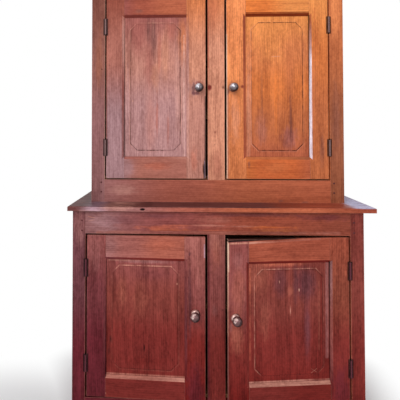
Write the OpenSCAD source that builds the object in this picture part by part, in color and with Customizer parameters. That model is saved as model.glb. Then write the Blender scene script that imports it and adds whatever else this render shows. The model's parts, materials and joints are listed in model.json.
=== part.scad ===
// Step-back cupboard: a lower case with two panelled doors and a ledge, and a
// shallower upper case with two taller panelled doors, set back on the ledge.
// Lengths are in millimetres. X runs to the viewer's right, Y to the back and Z up.
// The origin is on the floor, in the middle of the whole cupboard's box.

/* [Lower case] */
// Width of the lower case over its sides
lower_w = 1180; // [1100:5:1230]
// Depth from the front of the face frame to the back
lower_d = 470; // [420:5:560]
// Height of the ledge's top above the floor
ledge_z = 894; // [860:1:960]
// Thickness of the ledge board
ledge_t = 19; // [14:1:30]
// How far the ledge stands out in front of the lower face frame
ledge_front = 22; // [5:1:40]
// How far the ledge stands out past the lower case's left side
ledge_left = 18; // [10:1:40]
// How far the ledge stands out past the lower case's right side
ledge_right = 44; // [20:1:60]
// Width of the outer stiles
lower_stile_w = 52.5; // [48:0.5:60]
// Width of the centre stile
lower_centre_w = 72; // [66:1:90]
// Height of the top rail
lower_top_rail_h = 95; // [80:1:110]
// Height of the bottom rail
lower_bottom_rail_h = 50; // [46:1:60]
// Height of the feet under the bottom rail
foot_h = 64; // [50:1:90]
// Width of the cut between the feet of each side
foot_cut_w = 176; // [120:2:186]
// Radius of the upper corners of that cut
foot_round = 35; // [20:1:45]
// Height of the shelf's top above the bottom board
lower_shelf_up = 350; // [250:5:450]

/* [Upper case] */
// Width of the upper case over its sides
upper_w = 1086; // [1040:2:1110]
// How far the upper face frame is set back from the lower one
step_back = 106; // [80:1:160]
// How far the upper case sits to the left of the ledge's middle
upper_shift = 4.5; // [0:0.5:12]
// Width of the outer stiles
upper_stile_w = 57; // [52:0.5:66]
// Width of the centre stile
upper_centre_w = 73; // [66:1:90]
// Height of the bottom rail
upper_bottom_rail_h = 96; // [85:1:110]
// Height of the door openings
upper_open_h = 808; // [780:1:860]
// Height of the top rail
upper_top_rail_h = 84; // [76:1:120]
// Heights of the shelves' tops above the bottom board
upper_shelf_up = [270, 540]; // [200:10:600]

/* [Boards] */
// Thickness of the face frames
frame_t = 22; // [20:0.5:26]
// Thickness of the side boards
side_t = 20; // [16:0.5:24]
// Thickness of the shelves, bottoms and top
board_t = 18; // [14:0.5:22]
// Thickness of the back boards
back_t = 12; // [10:0.5:16]
// Number of back boards on each case
back_count = 7; // [5:1:9]
// Depth of the grooves in the sides that carry the shelves
dado = 8; // [5:0.5:10]
// How far the shelves stay behind the face frames
shelf_back = 30; // [20:1:60]
// Rounding of the ledge's upper edges
ledge_round = 4; // [1:0.5:6]

/* [Cornice] */
// Height of the cornice
cornice_h = 62; // [50:1:68]
// How far the cornice stands out
cornice_out = 44; // [36:1:50]
// How far the cornice's lowest fillet stands out
cornice_foot_out = 8; // [5:0.5:12]
// Height of the cornice's lowest fillet
cornice_foot_h = 12; // [8:1:16]
// Height of the cornice's cap
cornice_cap_h = 14; // [10:1:18]
// Width of the step between the lowest fillet and the cove
cornice_step = 3; // [2:0.5:5]

/* [Frame joints] */
// Length of the tenons
tenon_l = 36; // [28:1:40]
// Thickness of the face frames' tenons
tenon_t = 8; // [6:0.5:10]
// Shoulder left above and below a tenon
shoulder = 6; // [5:0.5:8]
// Diameter of the pegs
peg_d = 7.5; // [5:0.5:9]
// Distance from the rail's end to the pegs
peg_in = 14; // [10:0.5:18]
// Distance from the rail's edge at the opening to the nearer peg
peg_edge = 12; // [11:0.5:14]
// Distance between the two pegs of a joint
peg_apart = 41; // [30:1:44]
// Length of a door tenon's haunch
haunch = 20; // [14:1:26]
// How far the pegs stand proud of the face
peg_proud = 0.6; // [0:0.1:1.5]

/* [Doors] */
// Thickness of the doors
door_t = 21.5; // [20:0.5:21.5]
// Gap between a door and the stile that carries it
hinge_gap = 7; // [6.5:0.5:9]
// Gap above and below the doors
door_gap = 6; // [3:0.5:8]
// Gap at the free edge of the upper doors
upper_lock_gap = 9; // [3:0.5:12]
// Gap at the free edge of the lower left door
lower_left_lock_gap = 10; // [3:0.5:12]
// Gap at the free edge of the lower right door
lower_right_lock_gap = 3.5; // [3:0.5:12]
// Width of the stiles on the hinge side
hinge_stile_w = 79; // [70:1:90]
// Width of the stiles on the free side
lock_stile_w = 83; // [75:1:95]
// Height of the upper doors' top rails
upper_door_top_h = 92; // [80:1:110]
// Height of the upper doors' bottom rails
upper_door_bottom_h = 94; // [80:1:110]
// Height of the lower doors' top rails
lower_door_top_h = 99; // [85:1:110]
// Height of the lower doors' bottom rails
lower_door_bottom_h = 87; // [78:1:100]
// Width of the chamfer round each panel
chamfer_w = 11; // [6:0.5:14]
// Depth of the chamfer round each panel
chamfer_d = 9; // [5:0.5:9]
// Depth of the grooves that hold the panels
groove_deep = 11; // [8:0.5:13]
// Thickness of a panel at its edge
panel_t = 6.3; // [4:0.1:7]
// How far the raised field stands above the panel's edge
field_rise = 2.6; // [1:0.1:4]
// Margin between the frame and the raised field
field_margin = 25; // [15:1:35]
// Length cut off each corner of the raised field, along its sides
field_clip = 30; // [15:1:45]
// Width of the slope round the raised field
field_slope = 5; // [2:0.5:8]

/* [Door positions at rest] */
// Angle by which the lower left door stands open, in degrees
lower_left_angle = 3.1; // [0:0.1:10]
// Angle by which the lower right door stands open, in degrees
lower_right_angle = 7; // [0:0.1:10]

/* [Hinges] */
// Height of a hinge
hinge_h = 66; // [50:1:80]
// Distance from a door's end to the middle of its hinge
hinge_in = 133; // [100:1:180]
// Diameter of the hinge barrels
barrel_d = 8.8; // [8:0.2:9]
// Distance of the hinge axis in front of the door's face
axis_out = 3.2; // [3.2:0.1:4]
// Thickness of the hinge leaves
leaf_t = 2.2; // [1.6:0.1:2.4]
// Depth of the hinge leaves behind the face
leaf_deep = 19; // [14:0.5:19]
// Diameter of the hinge pins
pin_d = 4.6; // [3.6:0.2:5]
// Thickness of the heads of the hinge pins
pin_head = 2; // [1:0.2:3]

/* [Knobs and latches] */
// Diameter of the knobs' balls
ball_d = 38; // [28:1:40]
// Distance from a door's face to the middle of its ball
ball_out = 35; // [34:1:44]
// Diameter of the knobs' collars
collar_d = 36; // [24:1:38]
// Height of the dome on each collar
collar_h = 10; // [6:1:14]
// Diameter of the knobs' necks
neck_d = 13.5; // [12:0.5:16]
// Diameter of the spindles
spindle_d = 9; // [7:0.5:11]
// Knob's distance from the free edge on the upper doors
upper_knob_in = 28.5; // [26:0.5:45]
// Knob's distance from the free edge on the lower left door
lower_left_knob_in = 39; // [26:0.5:45]
// Knob's distance from the free edge on the lower right door
lower_right_knob_in = 27; // [26:0.5:45]
// Height of the knobs above the bottoms of the upper doors
upper_knob_up = 393; // [300:1:500]
// Height of the knobs above the bottoms of the lower doors
lower_knob_up = 349; // [250:1:450]
// Width of the latch bars
latch_w = 16; // [14:0.5:20]
// Thickness of the latch bars
latch_t = 3; // [2.5:0.5:4]
// How far a turned latch bar reaches behind the centre stile
latch_bite = 14; // [8:1:20]

/* [Hidden] */

$fn = 48;
eps = 1;              // how far a cutter runs past the face that it leaves
fit = 0.15;           // clearance of a piece in its groove, mortise or peg hole
end_room = 2;         // room left at the blind end of a mortise or groove
run_fit = 0.05;       // radial clearance of a pin or spindle in its bore
knuckle_gap = 0.3;    // clearance between two knuckles of a hinge
knuckles = 5;         // knuckles of a hinge, the first and last on the case
stop_lip = 14;        // how far a bottom board stands above its rail, to stop the doors
land = 1;             // flat left between a panel's chamfer and its groove
tongue_t = 4;         // thickness of the tongues on the back boards
tongue_l = 6;         // length of the tongues on the back boards
board_gap = 0.5;      // gap between the faces of two back boards
latch_gap = 0.8;      // clearance of a latch bar behind the centre stile
leaf_back = 1.6;      // how far the hinge leaves start behind a door's face
pin_edge = 1;         // bevel round the heads of the hinge pins
tip_step = 1;         // step from a spindle down to its tip, and out to its rivet head

// Doors are numbered: 0 upper left, 1 upper right, 2 lower left, 3 lower right.
UL = 0;
UR = 1;
LL = 2;
LR = 3;
DOORS = [UL, UR, LL, LR];
function is_upper(d) = d < LL;
function is_right(d) = d == UR || d == LR;
function open_angle(d) = [0, 0, lower_left_angle, lower_right_angle][d];
function lock_gap(d) = [upper_lock_gap, upper_lock_gap, lower_left_lock_gap, lower_right_lock_gap][d];
function knob_in(d) = [upper_knob_in, upper_knob_in, lower_left_knob_in, lower_right_knob_in][d];

ledge_w = ledge_left + lower_w + ledge_right;
lower_shift = (ledge_right - ledge_left) / 2;
lower_open_z = foot_h + lower_bottom_rail_h;
lower_top_z = ledge_z - ledge_t;
lower_open_h = lower_top_z - lower_top_rail_h - lower_open_z;
lower_open_w = (lower_w - lower_centre_w) / 2 - lower_stile_w;
upper_d = lower_d - step_back;
upper_open_z = ledge_z + upper_bottom_rail_h;
upper_open_w = (upper_w - upper_centre_w) / 2 - upper_stile_w;
upper_rail_z = upper_open_z + upper_open_h;
upper_top_z = upper_rail_z + upper_top_rail_h;

function open_w(d) = is_upper(d) ? upper_open_w : lower_open_w;
function open_h(d) = is_upper(d) ? upper_open_h : lower_open_h;
function door_w(d) = open_w(d) - hinge_gap - lock_gap(d);
function door_h(d) = open_h(d) - 2 * door_gap;
function door_z(d) = (is_upper(d) ? upper_open_z : lower_open_z) + door_gap;
function top_h(d) = is_upper(d) ? upper_door_top_h : lower_door_top_h;
function bottom_h(d) = is_upper(d) ? upper_door_bottom_h : lower_door_bottom_h;
function knob_up(d) = is_upper(d) ? upper_knob_up : lower_knob_up;
function knob_x(d) = hinge_gap / 2 + door_w(d) - knob_in(d);
function latch_reach(d) = knob_in(d) + lock_gap(d) + latch_bite;

// The box's front is the foremost ball: how far a lower door's ball stands before the case
function reach(d) = axis_out + knob_x(d) * sin(open_angle(d)) + (ball_out - axis_out) * cos(open_angle(d))
    + ball_d / 2;
front_reach = max(reach(LL), reach(LR), ledge_front);
back_y = (lower_d + front_reach) / 2;
lower_y = back_y - lower_d;
upper_y = lower_y + step_back;

function case_x(d) = is_upper(d) ? -upper_shift : -lower_shift;
function centre_w(d) = is_upper(d) ? upper_centre_w : lower_centre_w;
function side_of(d) = is_right(d) ? 1 : -1;
function pivot(d) = [
    case_x(d) + side_of(d) * (centre_w(d) / 2 + open_w(d) - hinge_gap / 2),
    (is_upper(d) ? upper_y : lower_y) - axis_out,
    door_z(d)
];

// Plain shapes
// Draws the children's outline in depth and height, and runs it along X
module along_x(length) {
    rotate([90, 0, 90]) linear_extrude(height = length) children();
}

// Draws the children's outline in width and height, and runs it along Y
module along_y(length) {
    translate([0, length, 0]) rotate([90, 0, 0]) linear_extrude(height = length) children();
}

module box(low, high) {
    translate(low) cube(high - low);
}

// Rod from the point at along the Y axis
module rod_y(at, d, length) {
    translate(at) rotate([-90, 0, 0]) cylinder(d = d, h = length);
}

// Face frames
// A case is given as its middle, front, width, stile width, centre stile width
lower_case = [-lower_shift, lower_y, lower_w, lower_stile_w, lower_centre_w];
upper_case = [-upper_shift, upper_y, upper_w, upper_stile_w, upper_centre_w];
tenon_y = (frame_t - tenon_t) / 2;

// Both pegs of the joint between a rail and the outer stile on one side. A rail is given
// as its bottom, its height and the side of it, above 1 or below -1, where the doors are.
module peg_pair(case, side, rail, d, length, out) {
    x = case[0] + side * (case[2] / 2 - case[3] + peg_in);
    middle = rail[0] + rail[1] / 2;
    apart = min(peg_apart, rail[1] - 2 * peg_edge);
    for (up = [0, apart])
        rod_y([x, case[1] - out, middle + rail[2] * (rail[1] / 2 - peg_edge - up)], d, length);
}

module peg_holes(case, side, rail) {
    peg_pair(case, side, rail, peg_d + 2 * run_fit, frame_t + 2 * eps, eps);
}

// Rail between the outer stiles, with a tenon and peg holes at each end
module rail(case, rail) {
    rail_z = rail[0];
    rail_h = rail[1];
    half = case[2] / 2 - case[3];
    difference() {
        union() {
            box([case[0] - half, case[1], rail_z],
                [case[0] + half, case[1] + frame_t, rail_z + rail_h]);
            box([case[0] - half - tenon_l, case[1] + tenon_y, rail_z + shoulder],
                [case[0] + half + tenon_l, case[1] + tenon_y + tenon_t, rail_z + rail_h - shoulder]);
        }
        for (side = [-1, 1]) peg_holes(case, side, rail);
    }
}

// Mortise in an outer stile for a rail's tenon
module rail_mortise(case, side, rail) {
    inner = case[2] / 2 - case[3];
    low = side > 0 ? inner - eps : -inner - tenon_l - end_room;
    translate([case[0] + low, case[1] + tenon_y - fit, rail[0] + shoulder - fit])
        cube([tenon_l + end_room + eps, tenon_t + 2 * fit, rail[1] - 2 * shoulder + 2 * fit]);
    peg_holes(case, side, rail);
}

module outer_stile(case, side, z0, z1) {
    x = side > 0 ? case[2] / 2 - case[3] : -case[2] / 2;
    translate([case[0] + x, case[1], z0]) cube([case[3], frame_t, z1 - z0]);
}

// Tenon of the centre stile, which enters a rail upwards or downwards from z
module centre_tenon(case, z, grow, length) {
    half = case[4] / 2 - shoulder + grow;
    box([case[0] - half, case[1] + tenon_y - grow, z - length],
        [case[0] + half, case[1] + tenon_y + tenon_t + grow, z + length]);
}

module centre_stile(case, z0, z1) {
    union() {
        box([case[0] - case[4] / 2, case[1], z0], [case[0] + case[4] / 2, case[1] + frame_t, z1]);
        for (z = [z0, z1]) centre_tenon(case, z, 0, tenon_l);
    }
}

lower_rails = [
    [foot_h, lower_bottom_rail_h, 1],
    [lower_top_z - lower_top_rail_h, lower_top_rail_h, -1]
];
upper_rails = [
    [ledge_z, upper_bottom_rail_h, 1],
    [upper_rail_z, upper_top_rail_h, -1]
];

module lower_stile(side) {
    difference() {
        outer_stile(lower_case, side, 0, lower_top_z);
        for (rail = lower_rails) rail_mortise(lower_case, side, rail);
    }
}

module upper_stile(side) {
    difference() {
        outer_stile(upper_case, side, ledge_z, upper_top_z);
        for (rail = upper_rails) rail_mortise(upper_case, side, rail);
    }
}

// Side boards, with grooves for the boards that they carry and a rabbet for the back
back_inner_y = back_y - back_t;

// Groove for a board whose underside is at z
module board_groove(case, side, z) {
    inner = case[2] / 2 - side_t;
    low = side > 0 ? inner - eps : -inner - dado;
    translate([case[0] + low, case[1] + frame_t - eps, z])
        cube([dado + eps, lower_d, board_t + 2 * fit]);
}

module side_board(case, side, z0, z1, board_zs) {
    outer = side > 0 ? case[2] / 2 - side_t : -case[2] / 2;
    rabbet = side > 0 ? case[2] / 2 - side_t - eps : -case[2] / 2 + side_t - dado;
    difference() {
        translate([case[0] + outer, case[1] + frame_t, z0])
            cube([side_t, back_y - case[1] - frame_t, z1 - z0]);
        for (z = board_zs) board_groove(case, side, z);
        translate([case[0] + rabbet, back_inner_y, z0 - eps])
            cube([dado + eps, back_t + eps, z1 - z0 + 2 * eps]);
    }
}

lower_bottom_z = lower_open_z + stop_lip - board_t;
lower_shelf_z = lower_bottom_z + lower_shelf_up;
upper_bottom_z = upper_open_z + stop_lip - board_t;
upper_shelf_zs = [for (up = upper_shelf_up) upper_bottom_z + up];

// Cut between the front and back foot of a side: a flat top with quarter-round corners
module foot_cut() {
    middle = (lower_y + frame_t + back_y) / 2;
    translate([-lower_w, middle - foot_cut_w / 2, 0]) along_x(2 * lower_w) {
        translate([0, -eps]) square([foot_cut_w, foot_h - foot_round + eps]);
        translate([foot_round, 0]) square([foot_cut_w - 2 * foot_round, foot_h]);
        for (y = [foot_round, foot_cut_w - foot_round])
            translate([y, foot_h - foot_round]) circle(r = foot_round);
    }
}

module lower_side(side) {
    difference() {
        side_board(lower_case, side, 0, lower_top_z, [lower_bottom_z, lower_shelf_z]);
        foot_cut();
    }
}

module upper_side(side) {
    side_board(upper_case, side, ledge_z, upper_top_z,
        concat([upper_bottom_z], upper_shelf_zs));
}

// Board across a case, in the grooves of its sides, with its front edge at y
module cross_board(case, y, z) {
    half = case[2] / 2 - side_t + dado - fit;
    box([case[0] - half, y, z], [case[0] + half, back_inner_y, z + board_t]);
}

// Back boards, tongued into each other
module back_boards(case, z0, z1) {
    half = case[2] / 2 - side_t + dado - fit;
    pitch = 2 * half / back_count;
    tongue_y = (back_t - tongue_t) / 2;
    for (i = [0 : back_count - 1])
        translate([case[0] - half + i * pitch, back_inner_y, z0]) difference() {
            union() {
                cube([pitch - (i < back_count - 1 ? board_gap : 0), back_t, z1 - z0]);
                if (i < back_count - 1)
                    translate([0, tongue_y, 0]) cube([pitch + tongue_l, tongue_t, z1 - z0]);
            }
            if (i > 0)
                translate([-eps, tongue_y - fit, -eps])
                    cube([tongue_l + fit + eps, tongue_t + 2 * fit, z1 - z0 + 2 * eps]);
        }
}

// Doors
// A door is drawn shut, from its hinge axis: X to the free edge, Y to the back and Z up
// from the door's bottom. Its front face is at face_y.
face_y = axis_out;
groove_y = face_y + chamfer_d + land;
groove_t = panel_t + 2 * fit;
door_x = hinge_gap / 2;
function inner_x0() = door_x + hinge_stile_w;
function inner_x1(d) = door_x + door_w(d) - lock_stile_w;

// Puts a door's pieces in their place at rest
module on_door(d) {
    translate(pivot(d))
        if (is_right(d)) mirror([1, 0, 0]) rotate([0, 0, -open_angle(d)]) children();
        else rotate([0, 0, -open_angle(d)]) children();
}

// Puts a piece that stays on the case at a door's hinge axis
module at_pivot(d) {
    translate(pivot(d)) if (is_right(d)) mirror([1, 0, 0]) children(); else children();
}

// Chamfer round the panel, mitred at the corners: two tapered prisms cross
module chamfer_cut(d) {
    far = face_y + chamfer_d;
    near = face_y - eps;
    spread = chamfer_w * (chamfer_d + eps) / chamfer_d;
    x0 = inner_x0();
    x1 = inner_x1(d);
    z0 = bottom_h(d);
    z1 = door_h(d) - top_h(d);
    intersection() {
        linear_extrude(height = door_h(d))
            polygon([[x0, far], [x1, far], [x1 + spread, near], [x0 - spread, near]]);
        along_x(open_w(d))
            polygon([[far, z0], [far, z1], [near, z1 + spread], [near, z0 - spread]]);
    }
}

// Groove round the panel: it runs through the stiles from end to end
module panel_groove(d) {
    box([inner_x0() - groove_deep, groove_y, -eps],
        [inner_x1(d) + groove_deep, groove_y + groove_t, door_h(d) + eps]);
}

// Tenon of a door rail, with the haunch that fills the stile's groove
module rail_tenon(d, z0, z1, haunch_z0, haunch_z1, grow, length) {
    box([inner_x0() - length, groove_y + fit - grow, z0 - grow],
        [inner_x1(d) + length, groove_y + groove_t - fit + grow, z1 + grow]);
    if (grow == 0)
        box([inner_x0() - groove_deep + fit, groove_y + fit, haunch_z0],
            [inner_x1(d) + groove_deep - fit, groove_y + groove_t - fit, haunch_z1]);
}

module top_tenon(d, grow, length) {
    z = door_h(d) - top_h(d);
    rail_tenon(d, z + groove_deep, door_h(d) - haunch, z + groove_deep, door_h(d), grow, length);
}

module bottom_tenon(d, grow, length) {
    z = bottom_h(d) - groove_deep;
    rail_tenon(d, haunch, z, 0, z, grow, length);
}

module stile_cuts(d) {
    chamfer_cut(d);
    panel_groove(d);
    top_tenon(d, fit, tenon_l + end_room);
    bottom_tenon(d, fit, tenon_l + end_room);
}

module hinge_stile(d) {
    color("brown") on_door(d) difference() {
        translate([door_x, face_y, 0]) cube([hinge_stile_w, door_t, door_h(d)]);
        stile_cuts(d);
    }
}

module lock_stile(d) {
    color("brown") on_door(d) difference() {
        translate([inner_x1(d), face_y, 0]) cube([lock_stile_w, door_t, door_h(d)]);
        stile_cuts(d);
        rod_y([knob_x(d), face_y - eps, knob_up(d)], spindle_d + 2 * run_fit, door_t + 2 * eps);
    }
}

module door_rail(d, z0, z1, groove_z) {
    difference() {
        box([inner_x0(), face_y, z0], [inner_x1(d), face_y + door_t, z1]);
        chamfer_cut(d);
        box([inner_x0() - eps, groove_y, groove_z],
            [inner_x1(d) + eps, groove_y + groove_t, groove_z + groove_deep + eps]);
    }
}

module door_top_rail(d) {
    z = door_h(d) - top_h(d);
    color("sienna") on_door(d) union() {
        door_rail(d, z, door_h(d), z - eps);
        top_tenon(d, 0, tenon_l);
    }
}

module door_bottom_rail(d) {
    color("sienna") on_door(d) union() {
        door_rail(d, 0, bottom_h(d), bottom_h(d) - groove_deep);
        bottom_tenon(d, 0, tenon_l);
    }
}

// Slab whose four sides slope outwards from the front to the back, along one direction
module sloped_slab(half, length, rise, slope) {
    translate([0, 0, -length / 2]) linear_extrude(height = length)
        polygon([[-half + slope, -rise], [half - slope, -rise], [half, 0], [-half, 0]]);
}

// Raised field with clipped corners: four sloped slabs cross
module raised_field(w, h, rise) {
    long = 2 * (w + h);
    clip_half = (w / 2 + h / 2 - field_clip) * sqrt(0.5);
    intersection() {
        sloped_slab(w / 2, long, rise, field_slope);
        rotate([0, 90, 0]) sloped_slab(h / 2, long, rise, field_slope);
        rotate([0, 45, 0]) sloped_slab(clip_half, long, rise, field_slope);
        rotate([0, -45, 0]) sloped_slab(clip_half, long, rise, field_slope);
    }
}

// Panel: thin edges in the grooves and a raised field on the front
module door_panel(d) {
    x0 = inner_x0();
    x1 = inner_x1(d);
    z0 = bottom_h(d);
    z1 = door_h(d) - top_h(d);
    tongue = groove_deep - end_room;
    color("indianred") on_door(d) union() {
        box([x0 - tongue, groove_y + fit, z0 - tongue],
            [x1 + tongue, groove_y + fit + panel_t, z1 + tongue]);
        translate([(x0 + x1) / 2, groove_y + fit + panel_t / 2, (z0 + z1) / 2])
            raised_field(x1 - x0 - 2 * field_margin, z1 - z0 - 2 * field_margin,
                panel_t / 2 + field_rise);
    }
}

// Hinges
// A butt hinge is drawn at its axis, from the middle of its height
knuckle_h = hinge_h / knuckles;
leaf_start = face_y + leaf_back;

// Leaf on one side of the axis, with its share of the knuckles: the odd or the even ones
module leaf(side, first) {
    outer = side * hinge_gap / 2;
    inner = outer - side * leaf_t;
    low = min(outer, inner);
    difference() {
        union() {
            translate([low, leaf_start, -hinge_h / 2])
                cube([leaf_t, face_y + leaf_deep - leaf_start, hinge_h]);
            for (i = [first : 2 : knuckles - 1])
                translate([0, 0, -hinge_h / 2 + i * knuckle_h + knuckle_gap / 2]) {
                    cylinder(d = barrel_d, h = knuckle_h - knuckle_gap);
                    translate([low, 0, 0]) cube([leaf_t, leaf_start + eps, knuckle_h - knuckle_gap]);
                }
        }
        translate([0, 0, -hinge_h]) cylinder(d = pin_d + 2 * run_fit, h = 2 * hinge_h);
    }
}

module hinge_pin() {
    half = hinge_h / 2;
    rotate_extrude() polygon([
        [0, -half - pin_head], [barrel_d / 2 - pin_edge, -half - pin_head],
        [barrel_d / 2, -half - pin_head + pin_edge], [barrel_d / 2, -half],
        [pin_d / 2, -half], [pin_d / 2, half],
        [barrel_d / 2, half], [barrel_d / 2, half + pin_head - pin_edge],
        [barrel_d / 2 - pin_edge, half + pin_head], [0, half + pin_head]
    ]);
}

module at_hinges(d) {
    for (z = [hinge_in, door_h(d) - hinge_in]) translate([0, 0, z]) children();
}

module door_hinge_leaves(d) {
    color("dimgray") on_door(d) at_hinges(d) leaf(1, 1);
}

// Knob: a ball on a neck and a domed collar, with the spindle that carries the latch bar
bar_y = frame_t + latch_gap;
head_t = 1.5;         // thickness of the rivet head on a spindle's tip
collar_gap = 0.3;     // running gap between a collar and its door
rim_t = 2.5;          // thickness of a collar's rim
tip_r = spindle_d / 2 - tip_step;
module knob(d) {
    neck_r = neck_d / 2;
    collar_r = collar_d / 2;
    rivet_y = bar_y + latch_t + run_fit;
    color("silver") on_door(d) translate([knob_x(d), face_y, knob_up(d)]) rotate([90, 0, 0]) union() {
        translate([0, 0, ball_out]) sphere(d = ball_d);
        rotate_extrude() polygon(concat(
            [[0, collar_gap], [collar_r, collar_gap]],
            [for (a = [0 : 15 : 90]) [neck_r + (collar_r - neck_r) * cos(a), rim_t + collar_h * sin(a)]],
            [[neck_r, ball_out], [0, ball_out]]
        ));
        translate([0, 0, -bar_y]) cylinder(d = spindle_d, h = bar_y + rim_t);
        translate([0, 0, -rivet_y - head_t]) cylinder(r = tip_r, h = rivet_y);
        translate([0, 0, -rivet_y - head_t]) cylinder(r = spindle_d / 2 + tip_step, h = head_t);
    }
}

// Latch bar: hangs from the spindle's end, and turns behind the centre stile
module latch_bar(d) {
    reach = latch_reach(d);
    color("dimgray") on_door(d) translate([knob_x(d), face_y + bar_y, knob_up(d)]) rotate([-90, 0, 0])
        difference() {
            union() {
                cylinder(d = latch_w, h = latch_t);
                translate([-latch_w / 2, 0, 0]) cube([latch_w, reach - latch_w / 2, latch_t]);
                translate([0, reach - latch_w / 2, 0]) cylinder(d = latch_w, h = latch_t);
            }
            translate([0, 0, -eps]) cylinder(r = tip_r + run_fit, h = latch_t + 2 * eps);
        }
}

// Pieces of the lower case
module lower_left_side() { color("saddlebrown") lower_side(-1); }
module lower_right_side() { color("saddlebrown") lower_side(1); }
module lower_bottom() { color("peru") cross_board(lower_case, lower_y + frame_t, lower_bottom_z); }
module lower_shelf() {
    color("peru") cross_board(lower_case, lower_y + frame_t + shelf_back, lower_shelf_z);
}
module lower_back_boards() { color("burlywood") back_boards(lower_case, 0, lower_top_z); }
module lower_left_stile() { color("saddlebrown") lower_stile(-1); }
module lower_right_stile() { color("saddlebrown") lower_stile(1); }
module lower_centre_stile() {
    color("saddlebrown") centre_stile(lower_case, lower_open_z, lower_open_z + lower_open_h);
}
module lower_top_rail() {
    color("saddlebrown") difference() {
        rail(lower_case, lower_rails[1]);
        centre_tenon(lower_case, lower_rails[1][0], fit, tenon_l + end_room);
    }
}
module lower_bottom_rail() {
    color("saddlebrown") difference() {
        rail(lower_case, lower_rails[0]);
        centre_tenon(lower_case, lower_open_z, fit, tenon_l + end_room);
    }
}

// Board with its three visible upper edges rounded: the front and both ends
module ledge() {
    y0 = lower_y - ledge_front;
    corner = ledge_t - ledge_round;
    color("sienna") intersection() {
        translate([-ledge_w / 2, 0, 0]) along_x(ledge_w) {
            translate([y0, lower_top_z]) square([back_y - y0, corner]);
            translate([y0 + ledge_round, lower_top_z]) square([back_y - y0 - ledge_round, ledge_t]);
            translate([y0 + ledge_round, ledge_z - ledge_round]) circle(r = ledge_round);
        }
        translate([0, y0, 0]) along_y(back_y - y0) {
            translate([-ledge_w / 2, lower_top_z]) square([ledge_w, corner]);
            translate([-ledge_w / 2 + ledge_round, lower_top_z])
                square([ledge_w - 2 * ledge_round, ledge_t]);
            for (side = [-1, 1])
                translate([side * (ledge_w / 2 - ledge_round), ledge_z - ledge_round])
                    circle(r = ledge_round);
        }
    }
}

// Pieces of the upper case
module upper_left_side() { color("saddlebrown") upper_side(-1); }
module upper_right_side() { color("saddlebrown") upper_side(1); }
module upper_bottom() { color("peru") cross_board(upper_case, upper_y + frame_t, upper_bottom_z); }
module upper_shelves() {
    color("peru") for (z = upper_shelf_zs) cross_board(upper_case, upper_y + frame_t + shelf_back, z);
}
module upper_top() {
    color("peru") box([-upper_shift - upper_w / 2, upper_y, upper_top_z],
        [-upper_shift + upper_w / 2, back_y, upper_top_z + board_t]);
}
module upper_back_boards() { color("burlywood") back_boards(upper_case, ledge_z, upper_top_z); }
module upper_left_stile() { color("saddlebrown") upper_stile(-1); }
module upper_right_stile() { color("saddlebrown") upper_stile(1); }
module upper_centre_stile() {
    color("saddlebrown") centre_stile(upper_case, upper_open_z, upper_rail_z);
}
module upper_top_rail() {
    color("saddlebrown") difference() {
        rail(upper_case, upper_rails[1]);
        centre_tenon(upper_case, upper_rail_z, fit, tenon_l + end_room);
    }
}
module upper_bottom_rail() {
    color("saddlebrown") difference() {
        rail(upper_case, upper_rails[0]);
        centre_tenon(upper_case, upper_open_z, fit, tenon_l + end_room);
    }
}

// Cornice: a cove between two fillets, in three lengths mitred at the front corners
module cornice_outline() {
    cove_x = cornice_foot_out + cornice_step;
    difference() {
        polygon([
            [0, 0], [cornice_foot_out, 0], [cornice_foot_out, cornice_foot_h], [cove_x, cornice_foot_h],
            [cornice_out, cornice_h - cornice_cap_h], [cornice_out, cornice_h], [0, cornice_h]
        ]);
        translate([cornice_out, cornice_foot_h]) circle(r = cornice_out - cove_x);
    }
}

module cornice() {
    half = upper_w / 2;
    full = half + cornice_out;
    z = upper_top_z + board_t - cornice_h;
    y1 = back_y - upper_y;
    color("sienna") translate([-upper_shift, upper_y, z]) {
        intersection() {
            translate([-full, 0, 0]) along_x(2 * full) mirror([1, 0]) cornice_outline();
            translate([0, 0, -eps]) linear_extrude(height = cornice_h + 2 * eps)
                polygon([[-half, 0], [half, 0], [full, -cornice_out], [-full, -cornice_out]]);
        }
        for (side = [-1, 1]) intersection() {
            translate([side * half, -cornice_out, 0]) along_y(y1 + cornice_out)
                if (side > 0) cornice_outline(); else mirror([1, 0]) cornice_outline();
            translate([0, 0, -eps]) linear_extrude(height = cornice_h + 2 * eps)
                polygon([
                    [side * half, 0], [side * full, -cornice_out], [side * full, y1], [side * half, y1]
                ]);
        }
    }
}

// Pegs, and the parts of the hinges that stay on the cases
// The upper top rail's pegs are cut flush, because the cornice covers them
module frame_pegs() {
    length = frame_t + peg_proud;
    color("tan") for (side = [-1, 1]) {
        for (rail = lower_rails) peg_pair(lower_case, side, rail, peg_d, length, peg_proud);
        peg_pair(upper_case, side, upper_rails[0], peg_d, length, peg_proud);
        peg_pair(upper_case, side, upper_rails[1], peg_d, frame_t, 0);
    }
}
module case_hinge_leaves() {
    color("dimgray") for (d = DOORS) at_pivot(d) at_hinges(d) leaf(-1, 0);
}
module hinge_pins() {
    color("gray") for (d = DOORS) at_pivot(d) at_hinges(d) hinge_pin();
}

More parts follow.
